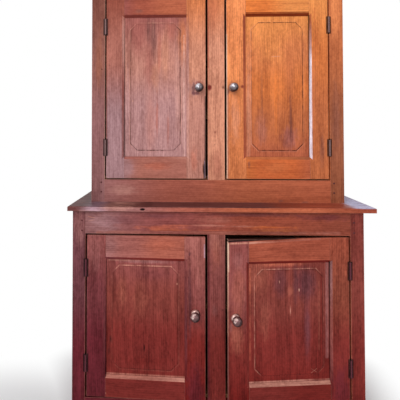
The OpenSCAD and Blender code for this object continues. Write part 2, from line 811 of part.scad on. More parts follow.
lower_left_side();
lower_right_side();
lower_bottom();
lower_shelf();
lower_back_boards();
lower_left_stile();
lower_centre_stile();
lower_right_stile();
lower_top_rail();
lower_bottom_rail();
ledge();
upper_left_side();
upper_right_side();
upper_bottom();
upper_shelves();
upper_top();
upper_back_boards();
upper_left_stile();
upper_centre_stile();
upper_right_stile();
upper_top_rail();
upper_bottom_rail();
cornice();
frame_pegs();
case_hinge_leaves();
hinge_pins();
hinge_stile(UL);  // upper_left_door_hinge_stile
lock_stile(UL);  // upper_left_door_lock_stile
door_top_rail(UL);  // upper_left_door_top_rail
door_bottom_rail(UL);  // upper_left_door_bottom_rail
door_panel(UL);  // upper_left_door_panel
door_hinge_leaves(UL);  // upper_left_door_hinge_leaves
knob(UL);  // upper_left_knob
latch_bar(UL);  // upper_left_latch_bar
hinge_stile(UR);  // upper_right_door_hinge_stile
lock_stile(UR);  // upper_right_door_lock_stile
door_top_rail(UR);  // upper_right_door_top_rail
door_bottom_rail(UR);  // upper_right_door_bottom_rail
door_panel(UR);  // upper_right_door_panel
door_hinge_leaves(UR);  // upper_right_door_hinge_leaves
knob(UR);  // upper_right_knob
latch_bar(UR);  // upper_right_latch_bar
hinge_stile(LL);  // lower_left_door_hinge_stile
lock_stile(LL);  // lower_left_door_lock_stile
door_top_rail(LL);  // lower_left_door_top_rail
door_bottom_rail(LL);  // lower_left_door_bottom_rail
door_panel(LL);  // lower_left_door_panel
door_hinge_leaves(LL);  // lower_left_door_hinge_leaves
knob(LL);  // lower_left_knob
latch_bar(LL);  // lower_left_latch_bar
hinge_stile(LR);  // lower_right_door_hinge_stile
lock_stile(LR);  // lower_right_door_lock_stile
door_top_rail(LR);  // lower_right_door_top_rail
door_bottom_rail(LR);  // lower_right_door_bottom_rail
door_panel(LR);  // lower_right_door_panel
door_hinge_leaves(LR);  // lower_right_door_hinge_leaves
knob(LR);  // lower_right_knob
latch_bar(LR);  // lower_right_latch_bar
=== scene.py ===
import json
import math

import bmesh
import bpy
from mathutils import Matrix, Vector

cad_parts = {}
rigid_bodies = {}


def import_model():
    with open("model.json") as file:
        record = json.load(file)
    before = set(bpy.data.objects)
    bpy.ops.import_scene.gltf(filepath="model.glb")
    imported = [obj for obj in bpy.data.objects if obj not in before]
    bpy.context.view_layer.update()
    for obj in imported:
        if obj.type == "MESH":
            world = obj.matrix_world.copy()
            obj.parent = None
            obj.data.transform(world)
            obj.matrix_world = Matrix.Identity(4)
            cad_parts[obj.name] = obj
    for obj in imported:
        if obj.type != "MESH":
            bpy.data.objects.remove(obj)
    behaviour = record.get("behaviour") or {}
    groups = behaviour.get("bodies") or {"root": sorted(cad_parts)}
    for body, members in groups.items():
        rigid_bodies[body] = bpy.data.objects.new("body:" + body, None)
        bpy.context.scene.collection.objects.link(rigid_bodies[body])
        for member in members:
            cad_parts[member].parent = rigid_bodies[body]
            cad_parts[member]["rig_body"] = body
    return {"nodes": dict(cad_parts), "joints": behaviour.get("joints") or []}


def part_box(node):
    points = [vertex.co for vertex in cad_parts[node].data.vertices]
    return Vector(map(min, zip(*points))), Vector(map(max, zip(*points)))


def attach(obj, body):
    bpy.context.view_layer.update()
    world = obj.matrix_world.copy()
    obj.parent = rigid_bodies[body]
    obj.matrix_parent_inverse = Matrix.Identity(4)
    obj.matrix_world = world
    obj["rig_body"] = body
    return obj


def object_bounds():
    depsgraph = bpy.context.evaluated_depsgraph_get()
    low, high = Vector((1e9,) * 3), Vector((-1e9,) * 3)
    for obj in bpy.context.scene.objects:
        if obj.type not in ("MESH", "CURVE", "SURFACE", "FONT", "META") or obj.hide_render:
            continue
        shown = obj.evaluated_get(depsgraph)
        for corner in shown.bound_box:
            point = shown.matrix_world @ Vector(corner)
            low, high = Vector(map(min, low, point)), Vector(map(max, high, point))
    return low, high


bl_info = {
    "name": "Step-back Cupboard",
    "version": (1, 0, 0),
    "blender": (4, 5, 0),
    "location": "View3D > Sidebar > Cupboard",
    "description": "Finishes an old stained step-back cupboard and sets it on a pale stage",
    "category": "Object",
}

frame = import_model()
CAD_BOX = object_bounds()
DOORS = ("upper_left", "upper_right", "lower_left", "lower_right")
JOINTS = {joint["name"]: joint for joint in frame["joints"]}


# Colours and sizes that can be set
def linear(red, green, blue):
    """A tone written as the eye sees it, from 0 to 255, as the colour that a shader takes"""
    def one(value):
        part = value / 255
        return part / 12.92 if part <= 0.04045 else ((part + 0.055) / 1.055) ** 2.4
    return one(red), one(green), one(blue)


def tone(name, description, red, green, blue):
    return bpy.props.FloatVectorProperty(
        name=name, description=description, subtype="COLOR", size=3, min=0, max=1,
        default=linear(red, green, blue))


def length(name, description, default):
    return bpy.props.FloatProperty(
        name=name, description=description, default=default, unit="LENGTH", subtype="DISTANCE", precision=4)


def angle(name, description, degrees):
    return bpy.props.FloatProperty(
        name=name, description=description, default=math.radians(degrees), unit="ROTATION", subtype="ANGLE")


def number(name, description, default):
    return bpy.props.FloatProperty(name=name, description=description, default=default)


def share(name, description, default, top=1.0):
    return bpy.props.FloatProperty(name=name, description=description, default=default, min=0, max=top)


class CupboardTones(bpy.types.PropertyGroup):
    """Tones of the stain where it has aged and gathered dirt, of light, sheen and shade painted onto it, and
    of the metals
    """
    # Amber and honey hold painted warm light from the upper right as well as the stain's own colour
    amber: tone("Amber", "Stain faded by the sun to a bright orange-brown", 226, 136, 83)
    honey: tone("Honey", "Faded stain over pale wood", 218, 135, 74)
    orange: tone("Orange", "Clear orange-brown stain", 214, 116, 56)
    copper: tone("Copper", "Bright brown between orange and honey", 204, 119, 72)
    # Russet holds painted warm light from the upper right as well as the stain's own colour
    russet: tone("Russet", "Red-brown stain on the sunny side", 199, 110, 58)
    rust: tone("Rust", "Deep orange-brown", 193, 97, 53)
    chestnut: tone("Chestnut", "Brown stain with little red", 179, 99, 60)
    terracotta: tone("Terracotta", "Red-brown rubbed bright", 186, 98, 74)
    cedar: tone("Cedar", "Clear brown-red stain", 171, 90, 62)
    sienna: tone("Sienna", "Warm brown-red stain in the shade", 152, 74, 54)
    auburn: tone("Auburn", "Dark brown-red stain", 133, 65, 49)
    walnut: tone("Walnut", "Dark brown stain", 114, 62, 49)
    saddle: tone("Saddle", "Dull brown at the outer stiles", 145, 82, 56)
    salmon: tone("Salmon", "Stain rubbed pale beside the knobs", 200, 134, 107)
    # Blush, petal and mauve are stain with a painted reflection of bluish window light over it
    blush: tone("Blush", "Rosy stain under a thin film of wax", 190, 136, 124)
    rosewood: tone("Rosewood", "Rosy brown stain", 178, 120, 105)
    petal: tone("Petal", "Rosy grey stain under wax", 176, 129, 126)
    mauve: tone("Mauve", "Stain under a thick film of old wax", 157, 118, 120)
    clay: tone("Clay", "Even rose-brown stain", 165, 101, 87)
    brick: tone("Brick", "Warm red-brown stain", 159, 86, 70)
    old_rose: tone("Old rose", "Red-brown stain with a little wax", 154, 90, 82)
    rouge: tone("Rouge", "Red-brown stain with a faint bloom", 147, 79, 71)
    # Dusk and heather are brown stain with a painted violet reflection of window light
    dusk: tone("Dusk", "Grey-violet film over brown stain", 150, 98, 95)
    heather: tone("Heather", "Dull violet film over brown stain", 133, 88, 87)
    umber: tone("Umber", "Brown stain in the shade", 130, 79, 68)
    maroon: tone("Maroon", "Red stain in the shade", 133, 69, 65)
    cherry: tone("Cherry", "Dark red stain with an orange cast", 124, 56, 48)
    oxblood: tone("Oxblood", "Dark red stain", 109, 50, 53)
    garnet: tone("Garnet", "Dark, clear red stain", 118, 41, 36)
    burgundy: tone("Burgundy", "Dark, clear red near the floor", 112, 33, 28)
    ember: tone("Ember", "The darkest clear red, at the floor", 104, 23, 19)
    plum: tone("Plum", "Dark red with violet, near the floor", 95, 30, 38)
    bark: tone("Bark", "Dull violet-brown where dirt lies on the stain", 98, 56, 54)
    slate: tone("Slate", "Greyish violet streaks in the stain", 101, 55, 60)
    # Soot and shadow is painted shadow under edges and on the tops of some boards, and also the dark of an
    # old latch mark
    soot: tone("Soot", "Brown shadow under an edge", 72, 30, 22)
    # Grime and shade is dirt in joints and corners, and also painted shade at the foot of the fields, along
    # the frames' edges and under the ledge
    grime: tone("Grime", "Dirt in corners and joints", 40, 16, 15)
    # Ink is the darkest dirt, and also painted shade in gaps, beside the hinges and over the sagged door
    ink: tone("Ink", "The darkest dirt", 20, 8, 10)
    worn: tone("Worn", "Wood showing through at edges", 205, 150, 128)
    rubbed: tone("Rubbed", "Pale dusty strip that catches the light", 198, 136, 116)
    cream: tone("Cream", "Bare wood on much-handled edges", 226, 190, 164)
    # Haze is a painted bluish reflection of window light
    haze: tone("Haze", "Bluish sheen of old wax", 178, 150, 168)
    shell: tone("Shell", "Rosy white where a rim is rubbed", 214, 168, 156)
    scorch: tone("Scorch", "Orange-brown shade under an edge", 116, 42, 12)
    sheen: tone("Sheen", "Window light on a polished slope", 226, 208, 216)
    sky: tone("Sky", "Window light on the ledge's end", 192, 188, 218)
    bare: tone("Bare wood", "Unfinished pine, dark with age", 148, 108, 76)
    upper_iron: tone("Upper iron", "Sides of the upper hinges", 54, 32, 32)
    lower_iron: tone("Lower iron", "Sides of the lower hinges", 46, 14, 24)
    # The fronts of the hinges carry a painted highlight over the dark iron of their sides
    upper_iron_worn: tone("Upper iron, worn", "Front of the upper hinges", 118, 90, 88)
    lower_iron_worn: tone("Lower iron, worn", "Front of the lower hinges", 88, 32, 44)
    iron_rust: tone("Iron rust", "Rust on the hinges and latch bars", 88, 42, 34)
    # Each knob's bright tone is a painted highlight, its dark tone painted shade and its collar tone painted
    # light on the collar's top; the middle tone is the nickel with its tarnish
    upper_knob_bright: tone("Upper knob, bright", "Nickel that hands have polished", 226, 226, 234)
    upper_knob_middle: tone("Upper knob, middle", "Nickel with a thin tarnish", 122, 112, 116)
    upper_knob_dark: tone("Upper knob, dark", "Nickel gone dark", 50, 34, 36)
    upper_knob_collar: tone("Upper knob, collar", "Collar against the wood", 176, 156, 150)
    # The same for the lower knobs: painted highlight, nickel, painted shade and the collar's painted light
    lower_knob_bright: tone("Lower knob, bright", "Nickel that hands have polished", 214, 186, 180)
    lower_knob_middle: tone("Lower knob, middle", "Nickel with a thin tarnish", 108, 78, 78)
    lower_knob_dark: tone("Lower knob, dark", "Nickel gone dark", 44, 22, 24)
    lower_knob_collar: tone("Lower knob, collar", "Collar against the wood", 200, 156, 146)


class CupboardFinish(bpy.types.PropertyGroup):
    """How worn and how glossy the finish is"""
    edge_round: length("Edge rounding", "Radius that use has worn on the boards' edges", 0.0009)
    wear_width: length("Wear width", "How far the pale wear reaches from an edge", 0.0022)
    wear: share("Wear", "How pale the worn edges are", 0.22)
    joint_width: length("Joint width", "Half width of the dirt line along a joint", 0.0012)
    grain_depth: length("Grain depth", "Height of the grain's ridges", 0.0003)
    gloss: share("Gloss", "How much the old varnish still shines", 0.08)
    ledge_gloss: share("Ledge gloss", "How much the varnish of the ledge still shines", 0.05)
    roughness: share("Roughness", "Roughness of the varnish", 0.42)
    figure_above: share("Figure above", "Strength of the grain's streaks on the upper case", 0.88, 2.0)
    figure_below: share("Figure below", "Strength of the grain's streaks on the lower case", 1.15, 2.0)
    figure_on_rails: share("Figure on rails", "Share of that strength on boards that lie level", 0.78)


class CupboardStage(bpy.types.PropertyGroup):
    """Camera, lamps and floor"""
    lens: number("Lens", "Focal length in millimetres, on a 36 mm sensor", 40.5)
    camera_x: length("Camera across", "Place of the camera from left to right", -0.1435)
    camera_back: length("Camera distance", "From the lower doors' front to the camera", 1.850)
    camera_above: length("Camera above ledge", "Height of the camera over the ledge", 0.3125)
    look_left: angle("Turn", "How far the camera is turned to the left", 2.5)
    look_up: angle("Tilt", "How far the camera is tilted up", 1.36)
    shift_x: number("Shift across", "Lens shift to the right", 0.089)
    shift_y: number("Shift up", "Lens shift upwards", -0.202)
    daylight: share("Daylight", "Strength of the light from all round", 0.5, 3.0)
    key_power: number("Key lamp", "Power of the key lamp, in watts", 138)
    fill_power: number("Fill lamp", "Power of the fill lamp, in watts", 23)
    floor: tone("Floor", "Colour of the floor and backdrop", 247, 247, 248)
    shade_x: length("Shade across", "Middle of the floor's shade from left to right", -0.95)
    shade_y: length("Shade back", "Middle of the floor's shade from front to back", -0.35)
    shade_reach: length("Shade reach", "How far the floor's shade goes before it fades to white", 0.72)
    shadow_reach: length("Shadow reach", "How far the cupboard's shadow goes before it fades to white", 0.28)


# Nodes
class Nodes:
    """Adds nodes to one tree and links them as they are added"""

    def __init__(self, tree):
        self.tree = tree

    def add(self, kind, settings=None, **inputs):
        node = self.tree.nodes.new(kind)
        row, column = divmod(len(self.tree.nodes), 8)
        node.location = (column * 200, row * -320)
        for key, value in (settings or {}).items():
            setattr(node, key, value)
        self.feed_all(node.inputs, inputs)
        return node

    def feed(self, socket, value):
        if isinstance(value, bpy.types.NodeSocket):
            self.tree.links.new(value, socket)
        else:
            socket.default_value = value

    def feed_all(self, sockets, values):
        """Feeds sockets by their names, with lines in place of spaces"""
        for key, value in values.items():
            self.feed(sockets[key.replace("_", " ")], value)

    def coordinate(self, name):
        return self.add("ShaderNodeTexCoord").outputs[name]

    def sum(self, operation, a, b=0.0, clamp=False):
        node = self.add("ShaderNodeMath", {"operation": operation, "use_clamp": clamp})
        self.feed(node.inputs[0], a)
        self.feed(node.inputs[1], b)
        return node.outputs[0]

    def plus(self, a, b, clamp=False):
        return self.sum("ADD", a, b, clamp)

    def less(self, a, b):
        return self.sum("SUBTRACT", a, b)

    def times(self, a, b):
        return self.sum("MULTIPLY", a, b)

    def vector(self, operation, a, b=(0, 0, 0), scale=1.0):
        node = self.add("ShaderNodeVectorMath", {"operation": operation})
        self.feed(node.inputs[0], a)
        if operation == "SCALE":
            self.feed(node.inputs["Scale"], scale)
        elif operation not in ("LENGTH", "ABSOLUTE"):
            self.feed(node.inputs[1], b)
        return node.outputs["Value" if operation in ("LENGTH", "DOT_PRODUCT") else "Vector"]

    def parts(self, vector):
        return self.add("ShaderNodeSeparateXYZ", Vector=vector).outputs

    def join(self, x, y, z):
        return self.add("ShaderNodeCombineXYZ", X=x, Y=y, Z=z).outputs[0]

    def remap(self, value, low, high, to_low=0.0, to_high=1.0, smooth=False):
        kind = "SMOOTHSTEP" if smooth else "LINEAR"
        return self.add("ShaderNodeMapRange", {"interpolation_type": kind}, Value=value, From_Min=low,
                        From_Max=high, To_Min=to_low, To_Max=to_high).outputs[0]

    def mix(self, factor, a, b):
        """Goes from colour a to colour b"""
        node = self.add("ShaderNodeMix", {"data_type": "RGBA"})
        self.feed(node.inputs[0], factor)
        for socket, colour in ((node.inputs[6], a), (node.inputs[7], b)):
            self.feed(socket, colour if isinstance(colour, bpy.types.NodeSocket) else (*colour, 1))
        return node.outputs[2]

    def blend(self, factor, a, b):
        """Goes from number a to number b"""
        node = self.add("ShaderNodeMix", {"data_type": "FLOAT"})
        for index, value in ((0, factor), (2, a), (3, b)):
            self.feed(node.inputs[index], value)
        return node.outputs[0]

    def ramp(self, value, colours):
        node = self.add("ShaderNodeValToRGB", Fac=value)
        node.color_ramp.interpolation = "EASE"
        stops = node.color_ramp.elements
        stops[0].color = (*colours[0], 1)
        stops[1].color = (*colours[-1], 1)
        for index in range(1, len(colours) - 1):
            stops.new(index / (len(colours) - 1)).color = (*colours[index], 1)
        return node.outputs[0]

    def noise(self, vector, scale=1.0, detail=2.0, roughness=0.5):
        return self.add("ShaderNodeTexNoise", Vector=vector, Scale=scale, Detail=detail,
                        Roughness=roughness).outputs[0]

    def shared(self, name, label="", **inputs):
        """Places a node group, which is made when it is first needed"""
        tree = bpy.data.node_groups.get(name) or MAKERS[name]()
        node = self.add("ShaderNodeGroup", {"node_tree": tree, "label": label})
        self.feed_all(node.inputs, inputs)
        return node.outputs

    def surface(self, shader, relief, strength, height, **values):
        """Feeds a shader's sockets, and its normal from a height whose relief is in metres"""
        self.feed_all(shader, values)
        bump = self.add("ShaderNodeBump", Strength=strength, Distance=relief, Height=height)
        self.feed(shader["Normal"], bump.outputs[0])


NUMBER = "NodeSocketFloat"
POINT = "NodeSocketVector"


def new_group(name, inputs, outputs):
    """An empty shader group: its tree, its inner nodes, its input sockets and its output sockets"""
    tree = bpy.data.node_groups.new(name, "ShaderNodeTree")
    for socket, (kind, default) in inputs.items():
        made = tree.interface.new_socket(socket, in_out="INPUT", socket_type=kind)
        made.default_value = default
    for socket in outputs:
        tree.interface.new_socket(socket, in_out="OUTPUT", socket_type=NUMBER)
    build = Nodes(tree)
    given = build.add("NodeGroupInput").outputs
    result = build.add("NodeGroupOutput").inputs
    return tree, build, given, result


def make_grain():
    """Grain of pine along Z: fibres, streaks, bands, growth rings, clouds and specks, each from 0 to 1"""
    seed_step = (7.31, 3.17, 1.73)
    drift_scale = (6, 6, 2.2)
    bend = 0.035
    # In radians to a metre, which puts the rings about 9 mm apart
    ring_rate = 700
    tree, build, given, result = new_group(
        "Pine grain", {"Vector": (POINT, (0, 0, 0)), "Seed": (NUMBER, 0.0)},
        ("Fibre", "Streak", "Band", "Ring", "Cloud", "Speck"))
    place = build.vector("ADD", given["Vector"], build.vector("SCALE", seed_step, scale=given["Seed"]))
    slow = build.vector("MULTIPLY", place, drift_scale)
    drift = build.add("ShaderNodeTexNoise", Vector=slow, Scale=1.0, Detail=1.0).outputs["Color"]
    centred = build.vector("SUBTRACT", drift, (0.5, 0.5, 0.5))
    bent = build.vector("ADD", place, build.vector("SCALE", centred, scale=bend))
    for name, stretch in (("Fibre", (480, 480, 18)), ("Streak", (100, 100, 26)), ("Band", (34, 34, 3.5)),
                          ("Cloud", (14, 14, 4)), ("Speck", (120, 120, 80))):
        figure = build.noise(build.vector("MULTIPLY", bent, stretch), detail=3, roughness=0.6)
        build.feed(result[name], figure)
    # The pith runs behind the board's face, a little out of line with it
    reach = build.vector("LENGTH", build.vector("MULTIPLY", bent, (1, 0.6, 0.045)))
    rings = build.sum("SINE", build.times(reach, ring_rate))
    build.feed(result["Ring"], build.remap(rings, -1, 1))
    return tree


def make_edges():
    """Mask of a box's edges, broken up by noise"""
    tree, build, given, result = new_group(
        "Edge wear",
        {"Vector": (POINT, (0, 0, 0)), "Low": (POINT, (0, 0, 0)), "High": (POINT, (1, 1, 1)),
         "Width": (NUMBER, 0.002), "Breakup": (NUMBER, 0.6)},
        ("Edge",))
    inside = build.vector("MINIMUM", build.vector("SUBTRACT", given["Vector"], given["Low"]),
                          build.vector("SUBTRACT", given["High"], given["Vector"]))
    x, y, z = build.parts(inside)
    least = build.sum("MINIMUM", x, y)
    most = build.sum("MAXIMUM", x, y)
    # On a face one distance is nought, so the middle one of the three is the way to the nearest edge
    away = build.sum("MAXIMUM", least, build.sum("MINIMUM", most, z))
    rough = build.noise(given["Vector"], scale=38, detail=4, roughness=0.65)
    spread = build.remap(rough, 0.35, 0.7, build.less(1.0, given["Breakup"]), 1.6)
    reach = build.times(given["Width"], spread)
    build.feed(result["Edge"], build.remap(away, reach, 0.0, smooth=True))
    return tree


def make_patch():
    """Mask of a soft patch on the front of a board, with an uneven outline"""
    tree, build, given, result = new_group(
        "Soft patch",
        {"Vector": (POINT, (0, 0, 0)), "Centre": (POINT, (0, 0, 0)), "Size": (POINT, (0.1, 1, 0.1)),
         "Ragged": (NUMBER, 0.0), "Softness": (NUMBER, 0.7), "Breakup": (NUMBER, 0.5),
         "Strength": (NUMBER, 1.0)},
        ("Mask",))
    away = build.vector("DIVIDE", build.vector("SUBTRACT", given["Vector"], given["Centre"]), given["Size"])
    moved = build.plus(build.vector("LENGTH", away), build.times(given["Ragged"], given["Breakup"]))
    mask = build.remap(moved, 1.0, build.less(1.0, given["Softness"]), smooth=True)
    build.feed(result["Mask"], build.times(mask, given["Strength"]))
    return tree


def make_line():
    """Mask of a thin line between two points on the front of a board, broken here and there"""
    tree, build, given, result = new_group(
        "Thin line",
        {"Vector": (POINT, (0, 0, 0)), "From": (POINT, (0, 0, 0)), "To": (POINT, (0, 0, 1)),
         "Width": (NUMBER, 0.002), "Ragged": (NUMBER, 0.0), "Breakup": (NUMBER, 0.5),
         "Strength": (NUMBER, 1.0)},
        ("Mask",))
    front = (1, 0, 1)
    whole = build.vector("SUBTRACT", given["To"], given["From"])
    point = build.vector("MULTIPLY", build.vector("SUBTRACT", given["Vector"], given["From"]), front)
    along = build.sum("DIVIDE", build.vector("DOT_PRODUCT", point, whole),
                      build.vector("DOT_PRODUCT", whole, whole), clamp=True)
    away = build.vector("LENGTH", build.vector("SUBTRACT", point, build.vector("SCALE", whole, scale=along)))
    mask = build.remap(away, given["Width"], build.times(given["Width"], 0.3), smooth=True)
    kept = build.remap(given["Ragged"], -0.15, 0.1, build.less(1.0, given["Breakup"]), 1.0)
    build.feed(result["Mask"], build.times(build.times(mask, kept), given["Strength"]))
    return tree


def make_outline():
    """Distance from a rectangle with clipped corners, seen from the front: less than nought inside"""
    tree, build, given, result = new_group(
        "Field outline",
        {"Vector": (POINT, (0, 0, 0)), "Low": (POINT, (0, 0, 0)), "High": (POINT, (1, 1, 1)),
         "Clip": (NUMBER, 0.0)},
        ("Distance",))
    middle = build.vector("SCALE", build.vector("ADD", given["Low"], given["High"]), scale=0.5)
    half = build.vector("SCALE", build.vector("SUBTRACT", given["High"], given["Low"]), scale=0.5)
    away = build.vector("ABSOLUTE", build.vector("SUBTRACT", given["Vector"], middle))
    x, _, z = build.parts(build.vector("SUBTRACT", away, half))
    corner = build.times(build.plus(build.plus(x, z), given["Clip"]), math.sqrt(0.5))
    build.feed(result["Distance"], build.sum("MAXIMUM", build.sum("MAXIMUM", x, z), corner))
    return tree


MAKERS = {"Pine grain": make_grain, "Edge wear": make_edges, "Soft patch": make_patch,
          "Thin line": make_line, "Field outline": make_outline}


# Places on the doors are given as if the doors were shut
def door_of(node):
    """The door that a node moves with, or None on the case"""
    body = frame["nodes"][node]["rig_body"]
    return next((door for door in DOORS if body.startswith(door)), None)


def shut_matrix(door):
    """Turns a door from rest to shut. A piece on the case stays."""
    if door is None:
        return Matrix.Identity(4)
    joint = JOINTS[door + "_door_swing"]
    turn = math.radians(joint["range_deg"][0]) * joint["axis"][2]
    pivot = Matrix.Translation(joint["pos_m"])
    return pivot @ Matrix.Rotation(turn, 4, "Z") @ pivot.inverted()


def shut_box(node):
    """Lowest and highest corner of a node with its door shut"""
    turn = shut_matrix(door_of(node))
    places = [turn @ vertex.co for vertex in frame["nodes"][node].data.vertices]
    return tuple(Vector(pick(place[axis] for place in places) for axis in range(3)) for pick in (min, max))


def shut_place(build, node):
    """Socket with each point's place in the row frame, its door shut"""
    place = build.coordinate("Object")
    turn = shut_matrix(door_of(node))
    if turn == Matrix.Identity(4):
        return place
    return build.add("ShaderNodeMapping", {"vector_type": "POINT"}, Vector=place,
                     Location=turn.to_translation(), Rotation=turn.to_euler()).outputs[0]


# Finishes
def paint(name):
    """A tone of the palette, by its name"""
    return tuple(getattr(bpy.context.scene.cupboard_tones, name))


def paints(names):
    """Tones for a ramp, from their names in one line"""
    return [paint(name) for name in names.split()]


def new_material(name, **constants):
    """A material with a Principled shader, whose plain values stand on its own sockets"""
    material = bpy.data.materials.new(name)
    material.use_nodes = True
    build = Nodes(material.node_tree)
    shader = material.node_tree.nodes["Principled BSDF"].inputs
    build.feed_all(shader, constants)
    return material, build, shader


def wear_in(node, width):
    """Rounds a board's edges a little, as use does"""
    piece = frame["nodes"][node]
    weld = piece.modifiers.new("Joined faces", "WELD")
    weld.merge_threshold = 1e-5
    flat = piece.modifiers.new("Whole faces", "DECIMATE")
    flat.decimate_type = "DISSOLVE"
    flat.angle_limit = math.radians(0.5)
    bevel = piece.modifiers.new("Worn edges", "BEVEL")
    bevel.width = width
    bevel.segments = 2
    bevel.limit_method = "ANGLE"
    bevel.angle_limit = math.radians(35)
    shading = piece.modifiers.new("Even shading", "WEIGHTED_NORMAL")
    shading.keep_sharp = True


def dress(node, material):
    """Gives a node its one material"""
    piece = frame["nodes"][node]
    piece.data.materials.clear()
    piece.data.materials.append(material)


# How a patch ends: the share of its reach over which it fades, and how far noise moves its outline
RAGGED = (0.8, 1.2)
STREAKY = (0.8, 1.6)
FIRM = (0.8, 0.6)
EVEN = (0.9, 0.6)


class Patch:
    """A patch of another tone on a board's front: its middle, half width and half height in metres"""
    group = "Soft patch"

    def __init__(self, what, tone, x, z, half_w, half_h, strength, ends=RAGGED):
        self.what = what
        self.tone = tone
        self.values = {"Centre": (x, 0, z), "Size": (half_w, 10, half_h), "Softness": ends[0],
                       "Breakup": ends[1], "Strength": strength}


class Line:
    """A thin line on a board's front, from one place to another, with its half width, in metres"""
    group = "Thin line"

    def __init__(self, what, tone, x1, z1, x2, z2, width, strength, breakup=0.5):
        self.what = what
        self.tone = tone
        self.values = {"From": (x1, 0, z1), "To": (x2, 0, z2), "Width": width, "Breakup": breakup,
                       "Strength": strength}


def joint_marks(node):
    """Dirt lines along a stile's inner edges, where the rails meet it"""
    if not node.endswith("_stile"):
        return ()
    low, high = shut_box(node)
    door = door_of(node)
    if door:
        inner = high.x if door.endswith("left") == node.endswith("hinge_stile") else low.x
        places = (inner,)
    else:
        places = {"left": (high.x,), "centre": (low.x, high.x), "right": (low.x,)}[node.split("_")[1]]
    owner = door + "_door" if door else node.split("_")[0]
    rails = [shut_box(owner + end) for end in ("_bottom_rail", "_top_rail")]
    width = bpy.context.scene.cupboard_finish.joint_width
    return [Line("Dirt along the joint", "grime", x, rail_low.z, x, rail_high.z, width, 0.65)
            for x in places for rail_low, rail_high in rails]


def hinge_marks(node):
    """Rust and dirt on the wood beside each hinge, with the hinge's shadow painted in"""
    if not node.endswith(("_left_stile", "_right_stile", "hinge_stile")):
        return ()
    half_h = 0.034
    off = 0.0065
    width = 0.006
    door = door_of(node)
    owner = door or node[:-len("_stile")]
    low, high = shut_box(owner + "_door_hinge_leaves")
    way = -1 if bool(door) == owner.endswith("right") else 1
    x = JOINTS[owner + "_door_swing"]["pos_m"][0] + way * off
    return [Line("Rust, dirt and shadow beside the hinge", "ink", x, z - half_h, x, z + half_h, width, 0.9, 0.15)
            for z in (low.z + half_h, high.z - half_h)]


def mark_field(build, node, place, ragged, colour):
    """Light and dark lines round a panel's raised field, of wear and dirt with painted highlight and shade,
    and dirt with painted shade where the panel meets its frame
    """
    low, high = shut_box(node)
    # The panel's edge is hidden in its grooves, and the field stands back from the frame by a margin
    hidden_edge = 0.009
    margin = 0.025
    clip = 0.030
    inner = Vector((hidden_edge + margin, 0, hidden_edge + margin))
    middle = (low + high) / 2
    half = (high - low) / 2 - inner
    outline = build.shared("Field outline", Vector=place, Low=low + inner, High=high - inner, Clip=clip)[0]
    across = build.vector("DIVIDE", build.vector("SUBTRACT", place, middle), (half.x, 1, half.z))
    u, _, v = build.parts(across)
    # The strengths of the upright lines hold near the left and right side, those of the level ones between
    at_side = build.remap(build.sum("ABSOLUTE", u), 0.82, 0.93)
    kept = build.remap(ragged, -0.12, 0.08, 0.2, 1.0)
    dark, light = FIELD_LINES[node]
    for name, offset, width, (left, right, bottom, top) in (
            ("grime", 0.0018, 0.0032, dark), ("rubbed", -0.0016, 0.0034, light)):
        line = build.remap(build.sum("ABSOLUTE", build.plus(outline, offset)), width, 0.0, smooth=True)
        level = build.remap(v, -0.2, 0.2, bottom, top)
        upright = build.remap(u, -0.2, 0.2, left, right)
        strength = build.times(build.blend(at_side, level, upright), kept)
        colour = build.mix(build.times(line, strength), colour, paint(name))
    # Dirt and painted shade darken the panel along the frame's edge
    edge = Vector((hidden_edge, 0, hidden_edge))
    frame_edge = build.shared("Field outline", Vector=place, Low=low + edge, High=high - edge, Clip=-1.0)[0]
    dirt = build.remap(frame_edge, -0.004, 0.0, smooth=True)
    return build.mix(build.times(dirt, 0.25), colour, paint("grime"))


def along_z(build, place, grain):
    """Turns a board that lies level upright, so that its grain runs along Z"""
    if grain == "Z":
        return place
    x, y, z = build.parts(place)
    return build.join(z, y, x)


def grain_lines(build, place, grain, seed):
    """The masks of pine grain that runs along Z or X. Each seed is a cut from another place in the tree."""
    return build.shared("Pine grain", Vector=along_z(build, place, grain), Seed=seed)


def grain_figure(build, lines, colour, figure):
    """Makes a colour darker and redder in the grain's dark streaks, and paler in its light ones"""
    total = 0.0
    for name, weight in (("Streak", 0.20), ("Band", 0.34), ("Fibre", 0.05), ("Cloud", 0.15),
                         ("Ring", 0.04), ("Speck", 0.22)):
        total = build.plus(build.times(lines[name], weight), total)
    dark = [1 - figure * part for part in (0.34, 0.42, 0.42)]
    light = [1 + figure * part for part in (0.30, 0.36, 0.38)]
    factor = build.remap(total, 0.41, 0.59)
    return build.vector("MULTIPLY", colour, build.mix(factor, dark, light))


def stain(build, node, tones, grain, place, facing):
    """A board's stain with painted light in it, the painted light and shade of its slopes, its marks of age
    and of painted light and shade, and on a panel the lines of its field
    """
    low, high = shut_box(node)
    x, _, z = build.parts(place)
    along = build.remap(z, low.z, high.z) if grain == "Z" else build.remap(x, low.x, high.x)
    colour = build.ramp(along, paints(tones))
    # Slopes and tops that face one way get their own tones: painted light and shade
    for way, lit_and_shaded_tones in LIT_AND_SHADED_FACES.get(node, {}).items():
        turned = build.remap(build.vector("DOT_PRODUCT", facing, way), 0.4, 0.55, smooth=True)
        colour = build.mix(turned, colour, build.ramp(along, paints(lit_and_shaded_tones)))
    # The noise that makes the marks ragged is stretched along the grain
    scale = (70, 70, 30) if grain == "Z" else (30, 70, 70)
    ragged = build.less(build.noise(build.vector("MULTIPLY", place, scale), detail=3, roughness=0.6), 0.5)
    for mark in (*MARKS.get(node, ()), *joint_marks(node), *hinge_marks(node)):
        mask = build.shared(mark.group, mark.what, Vector=place, Ragged=ragged, **mark.values)[0]
        colour = build.mix(mask, colour, paint(mark.tone))
    if node in FIELD_LINES:
        colour = mark_field(build, node, place, ragged, colour)
    return colour


